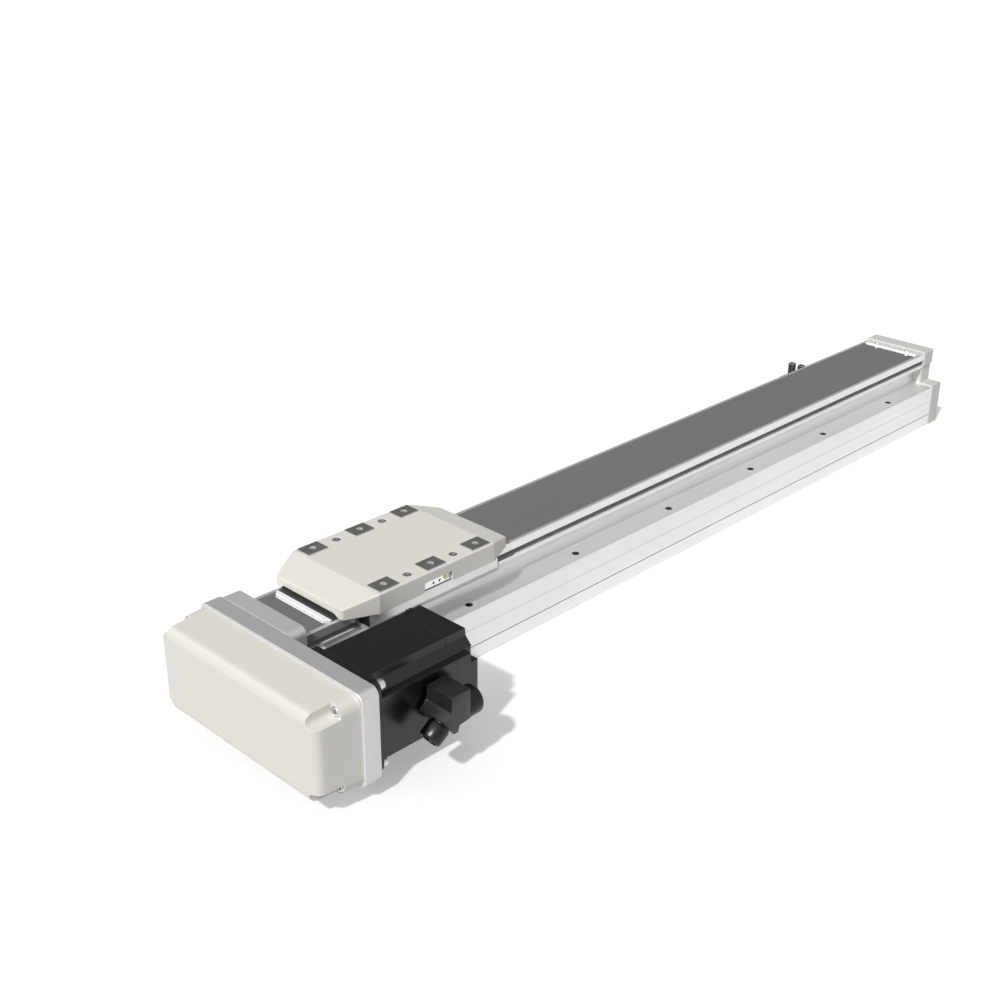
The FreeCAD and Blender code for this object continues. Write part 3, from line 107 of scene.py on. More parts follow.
class AxisFinishes(bpy.types.PropertyGroup):
    """Colours of the main finishes, as linear values"""
    shell: colour_setting("Shell", "Warm white plastic of the carriage shell and belt cover",
                          (0.735, 0.715, 0.665))
    profile: colour_setting("Profile", "Clear anodised aluminium of the long profile",
                            (0.87, 0.87, 0.87))
    block: colour_setting("Blocks", "Bead blasted aluminium of housing and plate",
                          (0.56, 0.56, 0.55))
    cap: colour_setting("End cap", "Painted aluminium of the end cap", (0.64, 0.63, 0.60))
    strip: colour_setting("Cover strip", "Polished steel strip on the top cover",
                          (0.86, 0.86, 0.855))
    motor: colour_setting("Motor", "Black paint of the motor", (0.004, 0.004, 0.0043))
    grain: length_setting("Plastic grain", "Size of the grain on moulded plastic", 0.0009)


class AxisDetails(bpy.types.PropertyGroup):
    """Sizes of the detail pieces"""
    screw_lead: length_setting("Screw lead", "Travel of the carriage in one turn", 0.010)
    groove_depth: length_setting("Ball groove depth", "Depth of the groove of the ball screw", 0.0012)
    thread_pitch: length_setting("Thread pitch", "Pitch of the screws' own threads", 0.001)
    knurl_ribs: IntProperty(name="Knurl ribs", description="Ribs round a connector ring",
                            default=30, min=8, max=90)


class AxisStudio(bpy.types.PropertyGroup):
    """Light and camera"""
    key_power: FloatProperty(name="Key light", description="Strength of the soft sun", default=2.8,
                             min=0.0)
    fill: FloatProperty(name="Fill light", description="Strength of the even light all round",
                        default=0.36, min=0.0)
    lens: FloatProperty(name="Lens", description="Focal length on a 36 mm sensor", default=50.952,
                        subtype="DISTANCE_CAMERA", min=1.0)


# node helpers

class Finish:
    """Builds one material's nodes on top of a Principled shader."""

    def __init__(self, name, colour, metallic=0.0, roughness=0.5):
        self.material = bpy.data.materials.new(name)
        self.material.use_nodes = True
        self.tree = self.material.node_tree
        self.shader = self.tree.nodes["Principled BSDF"]
        self.shader.inputs["Metallic"].default_value = metallic
        self.shader.inputs["Roughness"].default_value = roughness
        start = self.add("ShaderNodeRGB")
        start.outputs[0].default_value = (*colour, 1.0)
        self.colour = start.outputs[0]
        self.normal = None
        self.object_place = self.add("ShaderNodeTexCoord").outputs["Object"]
        self.material.diffuse_color = (*colour, 1.0)

    def add(self, kind, **settings):
        node = self.tree.nodes.new(kind)
        for key, setting in settings.items():
            setattr(node, key, setting)
        return node

    def link(self, source, target):
        self.tree.links.new(source, target)

    def place(self, scale):
        """Object coordinates, stretched by a scale on each axis."""
        node = self.add("ShaderNodeMapping")
        node.inputs["Scale"].default_value = scale
        self.link(self.object_place, node.inputs["Vector"])
        return node.outputs["Vector"]

    def along(self, letter):
        """The object coordinate X, Y or Z, in metres."""
        split = self.add("ShaderNodeSeparateXYZ")
        self.link(self.object_place, split.inputs[0])
        return split.outputs[letter]

    def calculate(self, operation, first, second=None):
        """A math node on one socket, or on a socket and a number or second socket."""
        node = self.add("ShaderNodeMath", operation=operation)
        self.link(first, node.inputs[0])
        if isinstance(second, float):
            node.inputs[1].default_value = second
        elif second is not None:
            self.link(second, node.inputs[1])
        return node.outputs[0]

    def noise(self, scale, detail=3.0):
        """Cloudy noise; the scale is in spots per metre on each axis."""
        node = self.add("ShaderNodeTexNoise")
        node.inputs["Scale"].default_value = 1.0
        node.inputs["Detail"].default_value = detail
        node.inputs["Roughness"].default_value = 0.55
        self.link(self.place(scale), node.inputs["Vector"])
        return node.outputs["Fac"]

    def cells(self, scale):
        """Rounded cells, as of a moulded or blasted grain."""
        node = self.add("ShaderNodeTexVoronoi", feature="SMOOTH_F1")
        node.inputs["Scale"].default_value = 1.0
        node.inputs["Smoothness"].default_value = 0.6
        self.link(self.place(scale), node.inputs["Vector"])
        return node.outputs["Distance"]

    def spread(self, source, low, high, out_low, out_high):
        """Map the range from low to high onto another, and hold its ends."""
        node = self.add("ShaderNodeMapRange")
        node.inputs["From Min"].default_value = low
        node.inputs["From Max"].default_value = high
        node.inputs["To Min"].default_value = out_low
        node.inputs["To Max"].default_value = out_high
        self.link(source, node.inputs["Value"])
        return node.outputs["Result"]

    def shade(self, mask, colour):
        """Blend a colour over what is there, by a mask."""
        node = self.add("ShaderNodeMix", data_type="RGBA")
        self.link(mask, node.inputs["Factor"])
        self.link(self.colour, node.inputs[6])
        node.inputs[7].default_value = (*colour, 1.0)
        self.colour = node.outputs[2]

    def vary(self, scale, amount):
        """Slow change of lightness over the surface."""
        self.shade(self.spread(self.noise(scale), 0.3, 0.7, 0.0, amount), grey(0.0))

    def rough(self, source, low, high):
        """Let the roughness follow a source between two values."""
        self.link(self.spread(source, 0.15, 0.85, low, high), self.shader.inputs["Roughness"])

    def bump(self, source, distance, strength=1.0):
        """Raise the surface by a source; the distance is in metres."""
        node = self.add("ShaderNodeBump")
        node.inputs["Strength"].default_value = strength
        node.inputs["Distance"].default_value = distance
        self.link(source, node.inputs["Height"])
        if self.normal is not None:
            self.link(self.normal, node.inputs["Normal"])
        self.normal = node.outputs["Normal"]

    def round_edges(self, radius):
        """Edges catch the light as if broken by this radius."""
        node = self.add("ShaderNodeBevel", samples=4)
        node.inputs["Radius"].default_value = radius
        self.normal = node.outputs["Normal"]
        return self

    def edge_mask(self, radius, low=0.02, high=0.25):
        """Mask along edges, where a rounded normal leaves the flat one; the finishes paint highlights by it.
        """
        soft = self.add("ShaderNodeBevel", samples=4)
        soft.inputs["Radius"].default_value = radius
        flat = self.add("ShaderNodeNewGeometry")
        dot = self.add("ShaderNodeVectorMath", operation="DOT_PRODUCT")
        self.link(soft.outputs["Normal"], dot.inputs[0])
        self.link(flat.outputs["True Normal"], dot.inputs[1])
        flip = self.add("ShaderNodeMath", operation="SUBTRACT")
        flip.inputs[0].default_value = 1.0
        self.link(dot.outputs["Value"], flip.inputs[1])
        return self.spread(flip.outputs[0], low, high, 0.0, 1.0)

    def facing_up(self):
        """Bright on surfaces of the object that face up."""
        split = self.add("ShaderNodeSeparateXYZ")
        self.link(self.add("ShaderNodeTexCoord").outputs["Normal"], split.inputs[0])
        return self.spread(split.outputs["Z"], 0.6, 0.9, 0.0, 1.0)

    def below(self, level):
        """Bright under a height."""
        return self.spread(self.along("Z"), level - 0.1 * MM, level, 1.0, 0.0)

    def off_centre(self, middle, reach, near=0.0, far=1.0):
        """The far value where X is more than a reach away from the middle, else the near value."""
        away = self.calculate("ABSOLUTE", self.calculate("SUBTRACT", self.along("X"), middle))
        return self.spread(away, reach - 0.1 * MM, reach, near, far)

    def done(self):
        """Link what was gathered and give the material."""
        self.link(self.colour, self.shader.inputs["Base Color"])
        if self.normal is not None:
            self.link(self.normal, self.shader.inputs["Normal"])
        return self.material


def grey(level):
    """A neutral colour as three equal linear values."""
    return (level, level, level)


def extruded_aluminium(name, colour, roughness=0.36, holes=False):
    """Anodised extrusion: die lines along the length and painted highlights along the edges."""
    metallic = 0.7
    f = Finish(name, colour, metallic=metallic, roughness=roughness).round_edges(0.0004)
    lines = f.noise((3.0, 900.0, 900.0), 4.0)
    fine = f.noise((1800.0, 2600.0, 2600.0), 2.0)
    f.shade(f.spread(lines, 0.35, 0.65, 0.0, 0.08), grey(0.35))
    f.vary((6.0, 14.0, 14.0), 0.05)
    # Painted highlight: a near-white line along every edge.
    f.shade(f.edge_mask(0.0005), grey(0.95))
    if holes:
        # Painted shade: the mounting holes are painted dark.
        f.shade(hole_wall_shade(f), grey(0.12))
        # Painted shade: the profile's top face, in the slot under the top cover, is a flat grey without
        # metal, set to the shade there.
        slot_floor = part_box("base_profile")[1].z - 0.2 * MM
        under_slot = f.below(slot_floor)
        f.link(f.spread(under_slot, 0.0, 1.0, 0.0, metallic), f.shader.inputs["Metallic"])
        f.shade(f.spread(under_slot, 0.0, 1.0, 1.0, 0.0), grey(0.68))
    f.rough(lines, roughness - 0.05, roughness + 0.08)
    f.bump(lines, 0.00002, 0.3)
    f.bump(fine, 0.00001, 0.2)
    return f.done()


def hole_wall_shade(f):
    """Mask of painted shade on the walls of the mounting holes, which repeat along the profile in two rows.
    """
    pitch, row, reach = 150 * MM, 48.5 * MM, 3.9 * MM
    edge = 0.02 * MM
    along = f.calculate("PINGPONG", f.along("X"), pitch / 2)
    across = f.calculate("SUBTRACT", f.calculate("ABSOLUTE", f.along("Y")), row)
    squares = f.calculate("ADD", f.calculate("MULTIPLY", along, along),
                          f.calculate("MULTIPLY", across, across))
    return f.spread(f.calculate("SQRT", squares), reach - edge, reach, 1.0, 0.0)


def blasted_aluminium(name, colour, metallic=0.35, roughness=0.5):
    """Bead blasted and anodised: fine even pits, painted highlights on the broken edges."""
    f = Finish(name, colour, metallic=metallic, roughness=roughness).round_edges(0.0005)
    pits = f.cells((1500.0, 1500.0, 1500.0))
    cloud = f.noise((30.0, 30.0, 30.0), 4.0)
    f.shade(f.spread(cloud, 0.35, 0.7, 0.0, 0.07), grey(0.2))
    # Painted highlight: a near-white line along the edges.
    f.shade(f.edge_mask(0.0008), grey(0.95))
    f.rough(cloud, roughness - 0.06, roughness + 0.06)
    f.bump(pits, 0.00003, 0.4)
    return f.done()


def milled_aluminium(name, colour):
    """Milled flat: fine crossing tool marks and painted highlights on the chamfers."""
    f = Finish(name, colour, metallic=0.62, roughness=0.4).round_edges(0.0003)
    rings = f.add("ShaderNodeTexWave", wave_type="RINGS", rings_direction="X")
    rings.inputs["Scale"].default_value = 260.0
    rings.inputs["Distortion"].default_value = 1.5
    f.link(f.object_place, rings.inputs["Vector"])
    marks = rings.outputs["Fac"]
    cloud = f.noise((40.0, 40.0, 40.0), 3.0)
    f.shade(f.spread(cloud, 0.35, 0.7, 0.0, 0.06), grey(0.35))
    # Painted highlight: white along the chamfers.
    f.shade(f.edge_mask(0.0014, 0.01, 0.15), grey(1.0))
    f.rough(cloud, 0.34, 0.46)
    f.bump(marks, 0.00001, 0.3)
    return f.done()


def polished_strip(name, colour):
    """Rolled steel strip: mirror-like with very fine lines along its length."""
    f = Finish(name, colour, metallic=1.0, roughness=0.07)
    lines = f.noise((1.2, 2600.0, 40.0), 3.0)
    f.shade(f.spread(lines, 0.3, 0.7, 0.0, 0.08), grey(0.3))
    f.vary((3.0, 22.0, 10.0), 0.04)
    f.rough(lines, 0.05, 0.09)
    f.bump(lines, 0.000001, 0.1)
    return f.done()


def moulded_plastic(name, colour, grain, roughness=0.42, specular=0.4, painted_shade_part=None):
    """Moulded plastic with a fine spark-eroded grain."""
    f = Finish(name, colour, metallic=0.0, roughness=roughness).round_edges(0.0005)
    size = 1.0 / max(grain, 0.0001)
    leather = f.cells((size, size, size))
    cloud = f.noise((14.0, 14.0, 14.0), 3.0)
    speck = f.noise((size * 0.7, size * 0.7, size * 0.7), 2.0)
    worn = tuple(c * 0.62 for c in colour)
    f.shade(f.spread(cloud, 0.1, 0.9, 0.0, 0.04), worn)
    f.shade(f.spread(speck, 0.2, 0.9, 0.0, 0.03), worn)
    # Painted highlight: a near-white line along the edges.
    f.shade(f.edge_mask(0.0012, 0.01, 0.2), grey(0.95))
    # Painted shade: where the mask is set, the plastic is painted near black.
    if painted_shade_part is not None:
        f.shade(painted_shade_part(f), grey(0.05))
    f.rough(cloud, roughness - 0.02, roughness + 0.04)
    f.bump(leather, 0.00004, 0.16)
    f.shader.inputs["Specular IOR Level"].default_value = specular
    return f.done()


def black_paint(name, colour, roughness=0.22):
    """Baked black paint with a faint orange peel and painted highlights along the edges."""
    f = Finish(name, colour, roughness=roughness).round_edges(0.0006)
    peel = f.noise((420.0, 420.0, 420.0), 2.0)
    dust = f.noise((60.0, 60.0, 60.0), 4.0)
    f.shade(f.spread(dust, 0.3, 0.8, 0.0, 0.2), tuple(c * 1.8 for c in colour))
    # Painted highlight: edges a little lighter than the paint.
    f.shade(f.edge_mask(0.0006), grey(0.02))
    f.rough(dust, roughness - 0.03, roughness + 0.06)
    f.bump(peel, 0.000006, 0.15)
    f.shader.inputs["Specular IOR Level"].default_value = 0.5
    return f.done()


def wiper_shade_mask(f):
    """Mask of painted shade on the wiper: all of it but the white lip along its outer edge, as the shade
    under the carriage's nose.
    """
    lip = 5.6 * MM
    low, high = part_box("drive_end_wiper")[0].x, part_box("far_end_wiper")[1].x
    return f.off_centre((low + high) / 2, (high - low) / 2 - lip, near=1.0, far=0.0)


def bridge_metal(name):
    """Pale in the shell's windows; painted shade makes it less pale below the shell and dark at the joint
    line and the ends.
    """
    f = Finish(name, grey(0.96), metallic=0.9, roughness=0.5).round_edges(0.0005)
    cloud = f.noise((30.0, 30.0, 30.0), 4.0)
    low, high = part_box("carriage_bridge")
    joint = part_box("carriage_shell")[0].z
    joint_top, joint_foot, end_wall = joint + 0.5 * MM, joint - 1.2 * MM, 1 * MM
    f.shade(f.spread(cloud, 0.2, 0.8, 0.0, 0.06), grey(0.4))
    # Painted shade: a dark line at the joint with the shell, for the shade under the shell's edge.
    f.shade(f.below(joint_top), grey(0.1))
    # Painted shade: below the joint the bridge is a less pale grey than in the windows.
    f.shade(f.below(joint_foot), grey(0.72))
    # Painted shadow: the end walls are near black, for the shadow under the carriage's noses.
    f.shade(f.off_centre((low.x + high.x) / 2, (high.x - low.x) / 2 - end_wall), grey(0.05))
    f.rough(cloud, 0.45, 0.55)
    f.bump(f.cells((1500.0, 1500.0, 1500.0)), 0.00003, 0.4)
    return f.done()


def turned_metal(name, colour, roughness, metallic=1.0):
    """Turned or ground metal with fine rings."""
    f = Finish(name, colour, metallic=metallic, roughness=roughness).round_edges(0.0002)
    rings = f.noise((2400.0, 60.0, 60.0), 3.0)
    cloud = f.noise((70.0, 70.0, 70.0), 3.0)
    f.shade(f.spread(cloud, 0.35, 0.7, 0.0, 0.2), tuple(c * 0.6 for c in colour))
    # Painted highlight: a lighter line along the edges.
    f.shade(f.edge_mask(0.0004), tuple(min(1.0, c * 1.6 + 0.05) for c in colour))
    f.rough(rings, roughness * 0.8, roughness * 1.3)
    f.bump(rings, 0.000008, 0.3)
    return f.done()


def pad_metal(name):
    """Phosphated tops with bright milled sides."""
    f = Finish(name, grey(0.62), metallic=0.35, roughness=0.45).round_edges(0.0001)
    cloud = f.noise((240.0, 240.0, 240.0), 3.0)
    f.shade(f.facing_up(), (0.155, 0.152, 0.145))
    f.shade(f.spread(cloud, 0.35, 0.7, 0.0, 0.15), grey(0.1))
    f.rough(cloud, 0.45, 0.6)
    f.bump(cloud, 0.00001, 0.2)
    return f.done()


def rubber(name, colour, ribs=False):
    """Dull rubber; the belt's shows fine lines across it."""
    f = Finish(name, colour, metallic=0.0, roughness=0.7).round_edges(0.0003)
    grain = f.noise((900.0, 900.0, 900.0), 3.0)
    cords = f.noise((1500.0, 30.0, 30.0), 2.0) if ribs else f.noise((120.0, 120.0, 120.0), 3.0)
    f.shade(f.spread(cords, 0.35, 0.7, 0.0, 0.4), grey(0.035))
    f.rough(grain, 0.6, 0.8)
    f.bump(grain, 0.00003, 0.3)
    return f.done()


FINISHES = {}


def finish(name):
    if name not in FINISHES:
        raise RuntimeError("the finish %s is made after a piece that needs it" % name)
    return FINISHES[name]


def dress(nodes, name):
    """Give CAD nodes a finish."""
    for node in nodes:
        mesh = NODES[node].data
        mesh.materials.clear()
        mesh.materials.append(finish(name))


# mesh helpers

def axes_about(direction):
    """A right-handed frame whose third axis is the direction."""
    third = Vector(direction).normalized()
    seed = Vector((0, 0, 1)) if abs(third.z) < 0.9 else Vector((0, 1, 0))
    first = seed.cross(third).normalized()
    return Matrix((first, third.cross(first), third)).transposed()


def lathe(mesh, profile, start, direction, steps=48, caps=True):
    """Turn a profile about an axis.  A row is (radius, height) or (radius, height, form).

    The form is "hex" for a hexagon whose corner radius is given, "knurl" for
    alternating ribs, or nothing for a circle.
    """
    turn = axes_about(direction)
    origin = Vector(start)
    rings = []
    for row in profile:
        radius, height = row[0], row[1]
        form = row[2] if len(row) > 2 else ""
        ring = []
        for i in range(steps):
            angle = 2 * math.pi * i / steps
            r = radius
            if form == "hex":
                r = radius * math.cos(math.pi / 6) / math.cos(angle % (math.pi / 3) - math.pi / 6)
            elif form == "knurl":
                r = radius - (0.02 * radius if i % 2 else 0.0)
            spot = Vector((r * math.cos(angle), r * math.sin(angle), height))
            ring.append(mesh.verts.new(origin + turn @ spot))
        rings.append(ring)
    for low, high in zip(rings, rings[1:]):
        for i in range(steps):
            k = (i + 1) % steps
            mesh.faces.new((low[i], low[k], high[k], high[i]))
    if caps:
        mesh.faces.new(list(reversed(rings[0])))
        mesh.faces.new(rings[-1])


def screw_profile(size, shank_length, pitch):
    """Profile of a socket head screw, from the socket floor round to the shank's tip."""
    head_radius, head_height, socket_radius, shank_radius = size
    edge = head_radius * 0.09
    rows = [(socket_radius * 0.2, head_height * 0.42), (socket_radius, head_height * 0.45, "hex"),
            (socket_radius, head_height - edge * 0.4, "hex"),
            (socket_radius * 1.08, head_height), (head_radius - edge, head_height),
            (head_radius * 0.985, head_height - edge), (head_radius, head_height - edge * 1.3, "knurl"),
            (head_radius, head_height * 0.12, "knurl"), (head_radius * 0.96, 0.0), (shank_radius, 0.0)]
    plain = shank_length * 0.25
    turns = max(2, min(14, int((shank_length - plain) / pitch)))
    step = (shank_length - plain) / turns
    for i in range(turns):
        rows.append((shank_radius, -plain - step * (i + 0.1)))
        rows.append((shank_radius * 0.88, -plain - step * (i + 0.55)))
    rows.append((shank_radius * 0.8, -shank_length))
    rows.append((shank_radius * 0.2, -shank_length))
    return rows


def make_piece(name, build, body, material, replaces=()):
    """Fill a new mesh by a build function and hang the piece on its CAD body."""
    mesh = bmesh.new()
    build(mesh)
    bmesh.ops.recalc_face_normals(mesh, faces=mesh.faces)
    data = bpy.data.meshes.new(name)
    mesh.to_mesh(data)
    mesh.free()
    data.shade_smooth()
    data.set_sharp_from_angle(angle=SHARP_ANGLE)
    data.materials.append(finish(material))
    piece = bpy.data.objects.new(name, data)
    bpy.context.scene.collection.objects.link(piece)
    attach(piece, body)
    if replaces:
        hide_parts(*replaces)


def prism(mesh, outline, near, far, bevel):
    """Extrude an outline of (x, z) points between two values of Y and break its edges."""
    rings = [[mesh.verts.new((x, y, z)) for x, z in outline] for y in (near, far)]
    faces = [mesh.faces.new(rings[0]), mesh.faces.new(list(reversed(rings[1])))]
    for k in range(len(outline)):
        m = (k + 1) % len(outline)
        faces.append(mesh.faces.new((rings[0][k], rings[1][k], rings[1][m], rings[0][m])))
    edges = list({e for face in faces for e in face.edges})
    bmesh.ops.bevel(mesh, geom=edges, offset=bevel, segments=2, profile=0.5, affect="EDGES")


# operators

class AxisOperator:
    bl_options = {"REGISTER", "UNDO"}

    def settings(self):
        return bpy.context.scene.linear_axis_finishes, bpy.context.scene.linear_axis_details


class AXIS_OT_finishes(AxisOperator, bpy.types.Operator):
    """Make every finish"""
    bl_idname = "linear_axis.finishes"
    bl_label = "Make finishes"

    def execute(self, context):
        colours, _ = self.settings()
        shell = tuple(colours.shell)
        FINISHES.update({
            "profile": extruded_aluminium("profile_anodised", tuple(colours.profile), holes=True),
            "top_cover": extruded_aluminium("top_cover_anodised", tuple(colours.profile), 0.3),
            "strip": polished_strip("strip_polished", tuple(colours.strip)),
            "block": blasted_aluminium("block_blasted", tuple(colours.block)),
            "plate": milled_aluminium("plate_milled", grey(0.68)),
            "cap": blasted_aluminium("cap_painted", tuple(colours.cap), metallic=0.1),
            "clamp": turned_metal("clamp_satin", grey(0.88), 0.4, metallic=0.3),
            "carriage": blasted_aluminium("carriage_milled", grey(0.5)),
            "bridge": bridge_metal("bridge_blasted"),
            "shell": moulded_plastic("shell_plastic", shell, colours.grain),
            "cover": moulded_plastic("cover_plastic", shell, colours.grain, 0.28, 0.5),
            "wiper": moulded_plastic("wiper_plastic", grey(0.86), colours.grain, 0.3,
                                     painted_shade_part=wiper_shade_mask),
            "motor": black_paint("motor_black", tuple(colours.motor)),
            "encoder": black_paint("encoder_black", tuple(colours.motor)),
            "connector": black_paint("connector_black", grey(0.012), 0.32),
            "connector_ring": turned_metal("connector_ring_dark", grey(0.035), 0.3),
            "pin": turned_metal("pin_gold", (0.75, 0.5, 0.18), 0.25),
            "bracket": blasted_aluminium("bracket_black", grey(0.03)),
            "sensor": moulded_plastic("sensor_black", grey(0.03), colours.grain * 0.6, 0.35),
            "dark_steel": turned_metal("screw_black_oxide", grey(0.11), 0.38),
            "grey_steel": turned_metal("screw_phosphated", grey(0.26), 0.4, metallic=0.5),
            "bright_steel": turned_metal("screw_zinc", grey(0.72), 0.3),
            "ground_steel": turned_metal("steel_ground", grey(0.5), 0.2),
            "pad": pad_metal("pad_phosphated"),
            "thread": turned_metal("thread_bright", grey(0.5), 0.4, metallic=0.2),
            "brass": turned_metal("brass_bright", (0.93, 0.88, 0.5), 0.35, metallic=0.4),
            "pulley": blasted_aluminium("pulley_hard_anodised", grey(0.3)),
            "rubber": rubber("rubber_black", grey(0.02)),
            "belt": rubber("belt_black", grey(0.018), ribs=True),
            "port": rubber("port_black", grey(0.01)),
        })
        return {"FINISHED"}


class AXIS_OT_profile(AxisOperator, bpy.types.Operator):
    """Dress the profile, its top cover and the strip"""
    bl_idname = "linear_axis.profile"
    bl_label = "Profile and cover"

    def execute(self, context):
        dress(["base_profile"], "profile")
        dress(["top_cover"], "top_cover")
        dress(["cover_strip"], "strip")
        dress(["strip_clamp"], "clamp")
        return {"FINISHED"}


class AXIS_OT_frame_parts(AxisOperator, bpy.types.Operator):
    """Dress housing, plate, belt cover, end cap and guides"""
    bl_idname = "linear_axis.frame_parts"
    bl_label = "Housing, plate and cap"

    def execute(self, context):
        dress(["bearing_housing"], "block")
        dress(["drive_plate"], "plate")
        dress(["belt_cover"], "cover")
        dress(["end_cap"], "cap")
        dress(["drive_end_buffers", "far_end_buffers"], "rubber")
        dress(["guide_rail_left", "guide_rail_right", "fixed_bearing", "far_bearing", "ball_nut",
               "lock_nut", "motor_shaft"], "ground_steel")
        dress(["runner_block_%d" % n for n in range(1, 5)], "ground_steel")
        return {"FINISHED"}


class AXIS_OT_belt_drive(AxisOperator, bpy.types.Operator):
    """Dress the pulleys and the toothed belt"""
    bl_idname = "linear_axis.belt_drive"
    bl_label = "Belt drive"

    def execute(self, context):
        dress(["screw_pulley", "motor_pulley"], "pulley")
        dress(["toothed_belt"], "belt")
        dress(["screw_pulley_bolt", "motor_pulley_bolt"], "dark_steel")
        return {"FINISHED"}


class AXIS_OT_ball_screw(AxisOperator, bpy.types.Operator):
    """Cut the ball groove into the long screw"""
    bl_idname = "linear_axis.ball_screw"
    bl_label = "Ball screw"

    def execute(self, context):
        _, sizes = self.settings()
        low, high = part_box("ball_screw")
        centre = (low + high) / 2
        radius = (high.z - low.z) / 2
        journal, far_journal = 6 * MM, 5 * MM
        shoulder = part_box("base_profile")[0].x + 0.2 * MM
        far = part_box("base_profile")[1].x - 4 * MM
        lead, depth = sizes.screw_lead, sizes.groove_depth
        steps, per_turn, groove_share = 20, 10, 0.32

        def build(mesh):
            rows = [(low.x, journal * 0.2, 0), (low.x, journal - 0.5 * MM, 0),
                    (low.x + 0.5 * MM, journal, 0), (shoulder, journal, 0), (shoulder, radius, 0)]
            count = int((far - shoulder) / lead * per_turn)
            for n in range(1, count):
                rows.append((shoulder + (far - shoulder) * n / count, radius, 1))
            rows += [(far, radius, 0), (far, far_journal, 0), (high.x - 0.5 * MM, far_journal, 0),
                     (high.x, far_journal - 0.5 * MM, 0), (high.x, far_journal * 0.2, 0)]
            rings = []
            for x, r, grooved in rows:
                ring = []
                for i in range(steps):
                    angle = 2 * math.pi * i / steps
                    reach = r
                    if grooved:
                        phase = (x / lead - angle / (2 * math.pi)) % 1.0
                        away = abs(phase - 0.5) / groove_share
                        reach = r - depth * math.sqrt(max(0.0, 1 - away * away))
                    ring.append(mesh.verts.new((x, centre.y + reach * math.cos(angle),
                                                centre.z + reach * math.sin(angle))))
                rings.append(ring)
            for a, b in zip(rings, rings[1:]):
                for i in range(steps):
                    k = (i + 1) % steps
                    mesh.faces.new((a[i], a[k], b[k], b[i]))
            mesh.faces.new(rings[0])
            mesh.faces.new(rings[-1])

        make_piece("ball_screw_threaded", build, "screw", "ground_steel",
                   ["ball_screw"])
        return {"FINISHED"}


def socket_head_screws(node, size, side, material, pitch):
    """Four detailed screws along X in place of a node of plain ones; side is where the heads are."""
    head_radius, head_height = size[0], size[1]
    low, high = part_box(node)
    seat = high.x - head_height if side > 0 else low.x + head_height
    profile = screw_profile(size, high.x - low.x - head_height, pitch)

    def build(mesh):
        for y in (low.y + head_radius, high.y - head_radius):
            for z in (low.z + head_radius, high.z - head_radius):
                lathe(mesh, profile, (seat, y, z), (side, 0, 0))
    make_piece(node + "_detailed", build, "base", material, [node])


class AXIS_OT_screws(AxisOperator, bpy.types.Operator):
    """Socket head screws with knurled heads, sockets and threads"""
    bl_idname = "linear_axis.screws"
    bl_label = "Screws"

    def execute(self, context):
        _, sizes = self.settings()
        for node, size, side, slot, material in (
                ("belt_cover_screws", M5_SCREW, -1, "bright_screw_steel", "bright_steel"),
                ("end_cap_screws", M6_SCREW, 1, "dark_screw_steel", "dark_steel"),
                ("housing_screws", M6_SCREW, -1, "dark_screw_steel", "dark_steel"),
                ("motor_screws", M6_SCREW, 1, "bright_screw_steel", "bright_steel")):
            socket_head_screws(node, size, side, material, sizes.thread_pitch)
        dress(["drive_plate_screws", "ball_nut_screws", "sensor_screws"], "dark_steel")
        self.clamp_screws()
        self.shell_screws()
        return {"FINISHED"}

    def clamp_screws(self):
        """Low button heads on the strip clamp."""
        low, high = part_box("strip_clamp_screws")
        r, head, shank = 2.9 * MM, 2.4 * MM, 1.5 * MM
        seat = high.z - head
        spots = [((low.x + high.x) / 2, y, seat) for y in (low.y + r, high.y - r)]

        def build(mesh):
            for spot in spots:
                lathe(mesh, [(0.3 * MM, 1.0 * MM), (1.1 * MM, 1.05 * MM, "hex"), (1.1 * MM, 2.2 * MM, "hex"),
                             (1.3 * MM, head), (1.7 * MM, head * 0.98), (2.4 * MM, head * 0.75),
                             (2.8 * MM, head * 0.35), (r, 0.0), (shank, 0.0), (shank, low.z - seat)],
                      spot, (0, 0, 1))
        make_piece("strip_clamp_screws_detailed", build, "base", "bright_steel",
                   ["strip_clamp_screws"])

    def shell_screws(self):
        """Countersunk screws in the carriage shell, with a bright disc on each socket's floor as a painted
        highlight.
        """
        low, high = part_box("shell_screws")
        r = 4.2 * MM
        top = high.z
        spots = [(x, y, top) for x in (low.x + r, high.x - r) for y in (low.y + r, high.y - r)]

        def build(mesh):
            for spot in spots:
                lathe(mesh, [(0.3 * MM, -0.9 * MM), (1.7 * MM, -0.85 * MM, "hex"),
                             (1.7 * MM, -0.15 * MM, "hex"), (2.0 * MM, 0.0), (3.9 * MM, 0.0),
                             (r, -0.15 * MM), (2.0 * MM, -2.3 * MM), (2.0 * MM, -6 * MM),
                             (1.8 * MM, -6.4 * MM), (2.0 * MM, -6.8 * MM), (1.7 * MM, low.z - top)],
                      spot, (0, 0, 1))
        make_piece("shell_screws_detailed", build, "carriage", "grey_steel",
                   ["shell_screws"])

        # Painted highlight: a bright steel disc on each socket's floor.
        def socket_highlights(mesh):
            for spot in spots:
                lathe(mesh, [(0.2 * MM, -0.7 * MM), (1.3 * MM, -0.7 * MM), (1.3 * MM, -0.86 * MM),
                             (0.2 * MM, -0.86 * MM)], spot, (0, 0, 1), 24)
        make_piece("shell_screw_socket_highlights", socket_highlights, "carriage",
                   "bright_steel")


